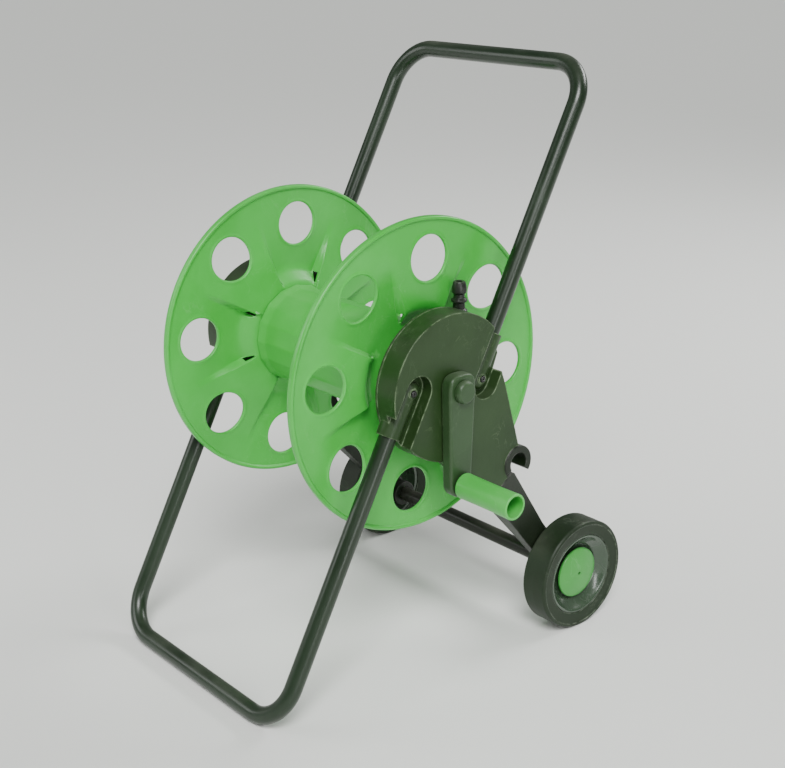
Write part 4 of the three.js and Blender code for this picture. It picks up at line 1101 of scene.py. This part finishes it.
cross_end = BOSS_INNER_X + CROSS_TUBE_INSERT
cross_tube = turned([(0.0078, -cross_end), (0.0086, -cross_end), (0.009, 0.0004 - cross_end),
                     (0.009, cross_end - 0.0004), (0.0086, cross_end), (0.0078, cross_end),
                     (0.0078, -cross_end)], axle_y, axle_z, 48)
finished(cross_tube, "cross_tube_drawn", "frame", black_paint, "cross_tube", "cross_tube")

tyre_inner = RIM_RADIUS + CLEARANCE
tyre = turned([
    (tyre_inner, WHEEL_INNER_X + 0.003), (0.056, WHEEL_INNER_X + 0.0012),
    *arc((WHEEL_RADIUS - TYRE_SHOULDER, WHEEL_INNER_X + TYRE_SHOULDER), TYRE_SHOULDER, 172, 92, 7),
    (WHEEL_RADIUS - 0.0002, 0.1605), (WHEEL_RADIUS, 0.1695), (WHEEL_RADIUS, 0.1701),
    (WHEEL_RADIUS - 0.0002, 0.1795),
    *arc((WHEEL_RADIUS - TYRE_SHOULDER, WHEEL_OUTER_X - TYRE_SHOULDER), TYRE_SHOULDER, 88, 0, 8),
    (0.0612, WHEEL_OUTER_X - 0.0001), (0.0608, WHEEL_OUTER_X - 0.0008), (0.0600, WHEEL_OUTER_X - 0.0010),
    (0.0540, WHEEL_OUTER_X - 0.0014), (0.0495, WHEEL_OUTER_X - 0.0018),
    (tyre_inner, WHEEL_OUTER_X - 0.0024), (tyre_inner, WHEEL_INNER_X + 0.003)], axle_y, axle_z, 112)
on_both_sides(tyre, "tyre", "crank_side_wheel", tyre_rubber, "tyre", crease=40)

rim = turned([
    (0.0043, WHEEL_INNER_X + 0.001), (0.013, WHEEL_INNER_X + 0.001), (0.013, 0.166), (0.026, 0.168),
    (0.042, 0.172), (0.044, WHEEL_INNER_X + 0.004), (RIM_RADIUS, WHEEL_INNER_X + 0.004),
    (RIM_RADIUS, WHEEL_OUTER_X - 0.0034), *arc((0.0470, WHEEL_OUTER_X - 0.0034), 0.001, 90, 0, 4),
    (0.0458, WHEEL_OUTER_X - 0.0026), (0.0446, WHEEL_OUTER_X - 0.0034), (0.0430, WHEEL_OUTER_X - 0.0052),
    (0.0395, WHEEL_OUTER_X - 0.0088), (0.0355, WHEEL_OUTER_X - 0.0110), (0.0335, 0.1744),
    (0.0322, 0.1725), (0.0300, 0.1714), (0.013, 0.171), (0.0043, 0.171),
    (0.0043, WHEEL_INNER_X + 0.001)], axle_y, axle_z, 112)
on_both_sides(rim, "wheel_rim", "crank_side_wheel", rim_plastic, "wheel_rim", crease=40)

hub_cap = turned([
    (0.0020, 0.1800), (0.023, 0.1786), (0.0275, 0.1758), (0.0296, 0.1758), (0.0300, 0.1762),
    (0.0300, 0.1772), *arc((0.0282, 0.1774), 0.0018, 80, 25, 4), (0.0240, 0.1806), (0.0160, 0.1817),
    (0.0080, 0.1823), (0.0030, 0.1825), (0.0022, 0.1822), (0.0020, 0.1800)], axle_y, axle_z, 80)
on_both_sides(hub_cap, "hub_cap", "crank_side_wheel", hub_plastic, "grip_green", crease=40)

# ---- Screws --------------------------------------------------------------------------------------
# Pan-head screws with a cross recess, turned and stamped from steel. Blackened ones go through the
# sleeves into the tubes, and zinc-plated ones hold the brackets' covers from the reel's side.

SCREW_HEAD_RADIUS = 0.0034
SCREW_HEAD_HEIGHT = 0.0022
SCREW_SHANK_RADIUS = 0.0015
SCREW_SHANK = 0.008
RECESS_LENGTH = 0.0036
RECESS_WIDTH = 0.0007
RECESS_DEPTH = 0.0011
RECESS_CUT = 0.002
SIDE_TURN = 0.4
TUBE_TURN = 0.3
COVER_TURN = 0.7

master = turned([
    (0.0, -SCREW_SHANK), (SCREW_SHANK_RADIUS - 0.0003, -SCREW_SHANK),
    (SCREW_SHANK_RADIUS, 0.0003 - SCREW_SHANK), (SCREW_SHANK_RADIUS, 0.0), (SCREW_HEAD_RADIUS - 0.0002, 0.0),
    (SCREW_HEAD_RADIUS, 0.0002), (SCREW_HEAD_RADIUS, 0.0007),
    *arc((SCREW_HEAD_RADIUS - 0.0014, 0.0008), 0.0014, 84, 10, 6), (0.0, SCREW_HEAD_HEIGHT)], 0, 0, 36)
for size in ((RECESS_LENGTH, RECESS_WIDTH), (RECESS_WIDTH, RECESS_LENGTH)):
    bpy.ops.object.select_all(action="DESELECT")
    bpy.ops.mesh.primitive_cube_add(size=1, scale=(RECESS_CUT, *size),
                                    location=at(SCREW_HEAD_HEIGHT - RECESS_DEPTH + RECESS_CUT / 2, 0, 0))
    cut(master, placed(bpy.context.object))


def screw(name, body, node_name, finish, head_x, facing, y, z, turn):
    """A copy of the screw, its head's underside at one distance and its head facing one way."""
    only(master)
    bpy.ops.object.duplicate()
    copy = bpy.context.object
    for point in copy.data.vertices:
        x, py, pz = point.co - reel_axis
        spun_y = py * math.cos(turn) - pz * math.sin(turn)
        spun_z = py * math.sin(turn) + pz * math.cos(turn)
        point.co = at(head_x + facing * x, y + spun_y, z + spun_z)
    outward(copy)
    finished(copy, name, body, finish, "zinc_steel", node_name)


SLEEVE_TOP_X = SLEEVE_X + SLEEVE_RADIUS + CLEARANCE
COVER_FACE_X = COVER_INNER_X - CLEARANCE
for side_sign, side_name in ((1, "crank_side_"), (-1, "far_side_")):
    for tube_sign, tube_name in ((1, "handle"), (-1, "stand")):
        node_name = f"{side_name}{tube_name}_tube_screw"
        screw(node_name + "_turned", "frame", node_name, dark_steel, side_sign * SLEEVE_TOP_X, side_sign,
              *tube_screw_place(tube_sign), SIDE_TURN * side_sign + TUBE_TURN * tube_sign)
    for number, (y, z) in enumerate(COVER_SCREW_PLACES, 1):
        node_name = f"{side_name}cover_screw_{number}"
        screw(node_name + "_turned", "frame", node_name, zinc, side_sign * COVER_FACE_X, -side_sign,
              y, z, COVER_TURN * number)
bpy.data.objects.remove(master)
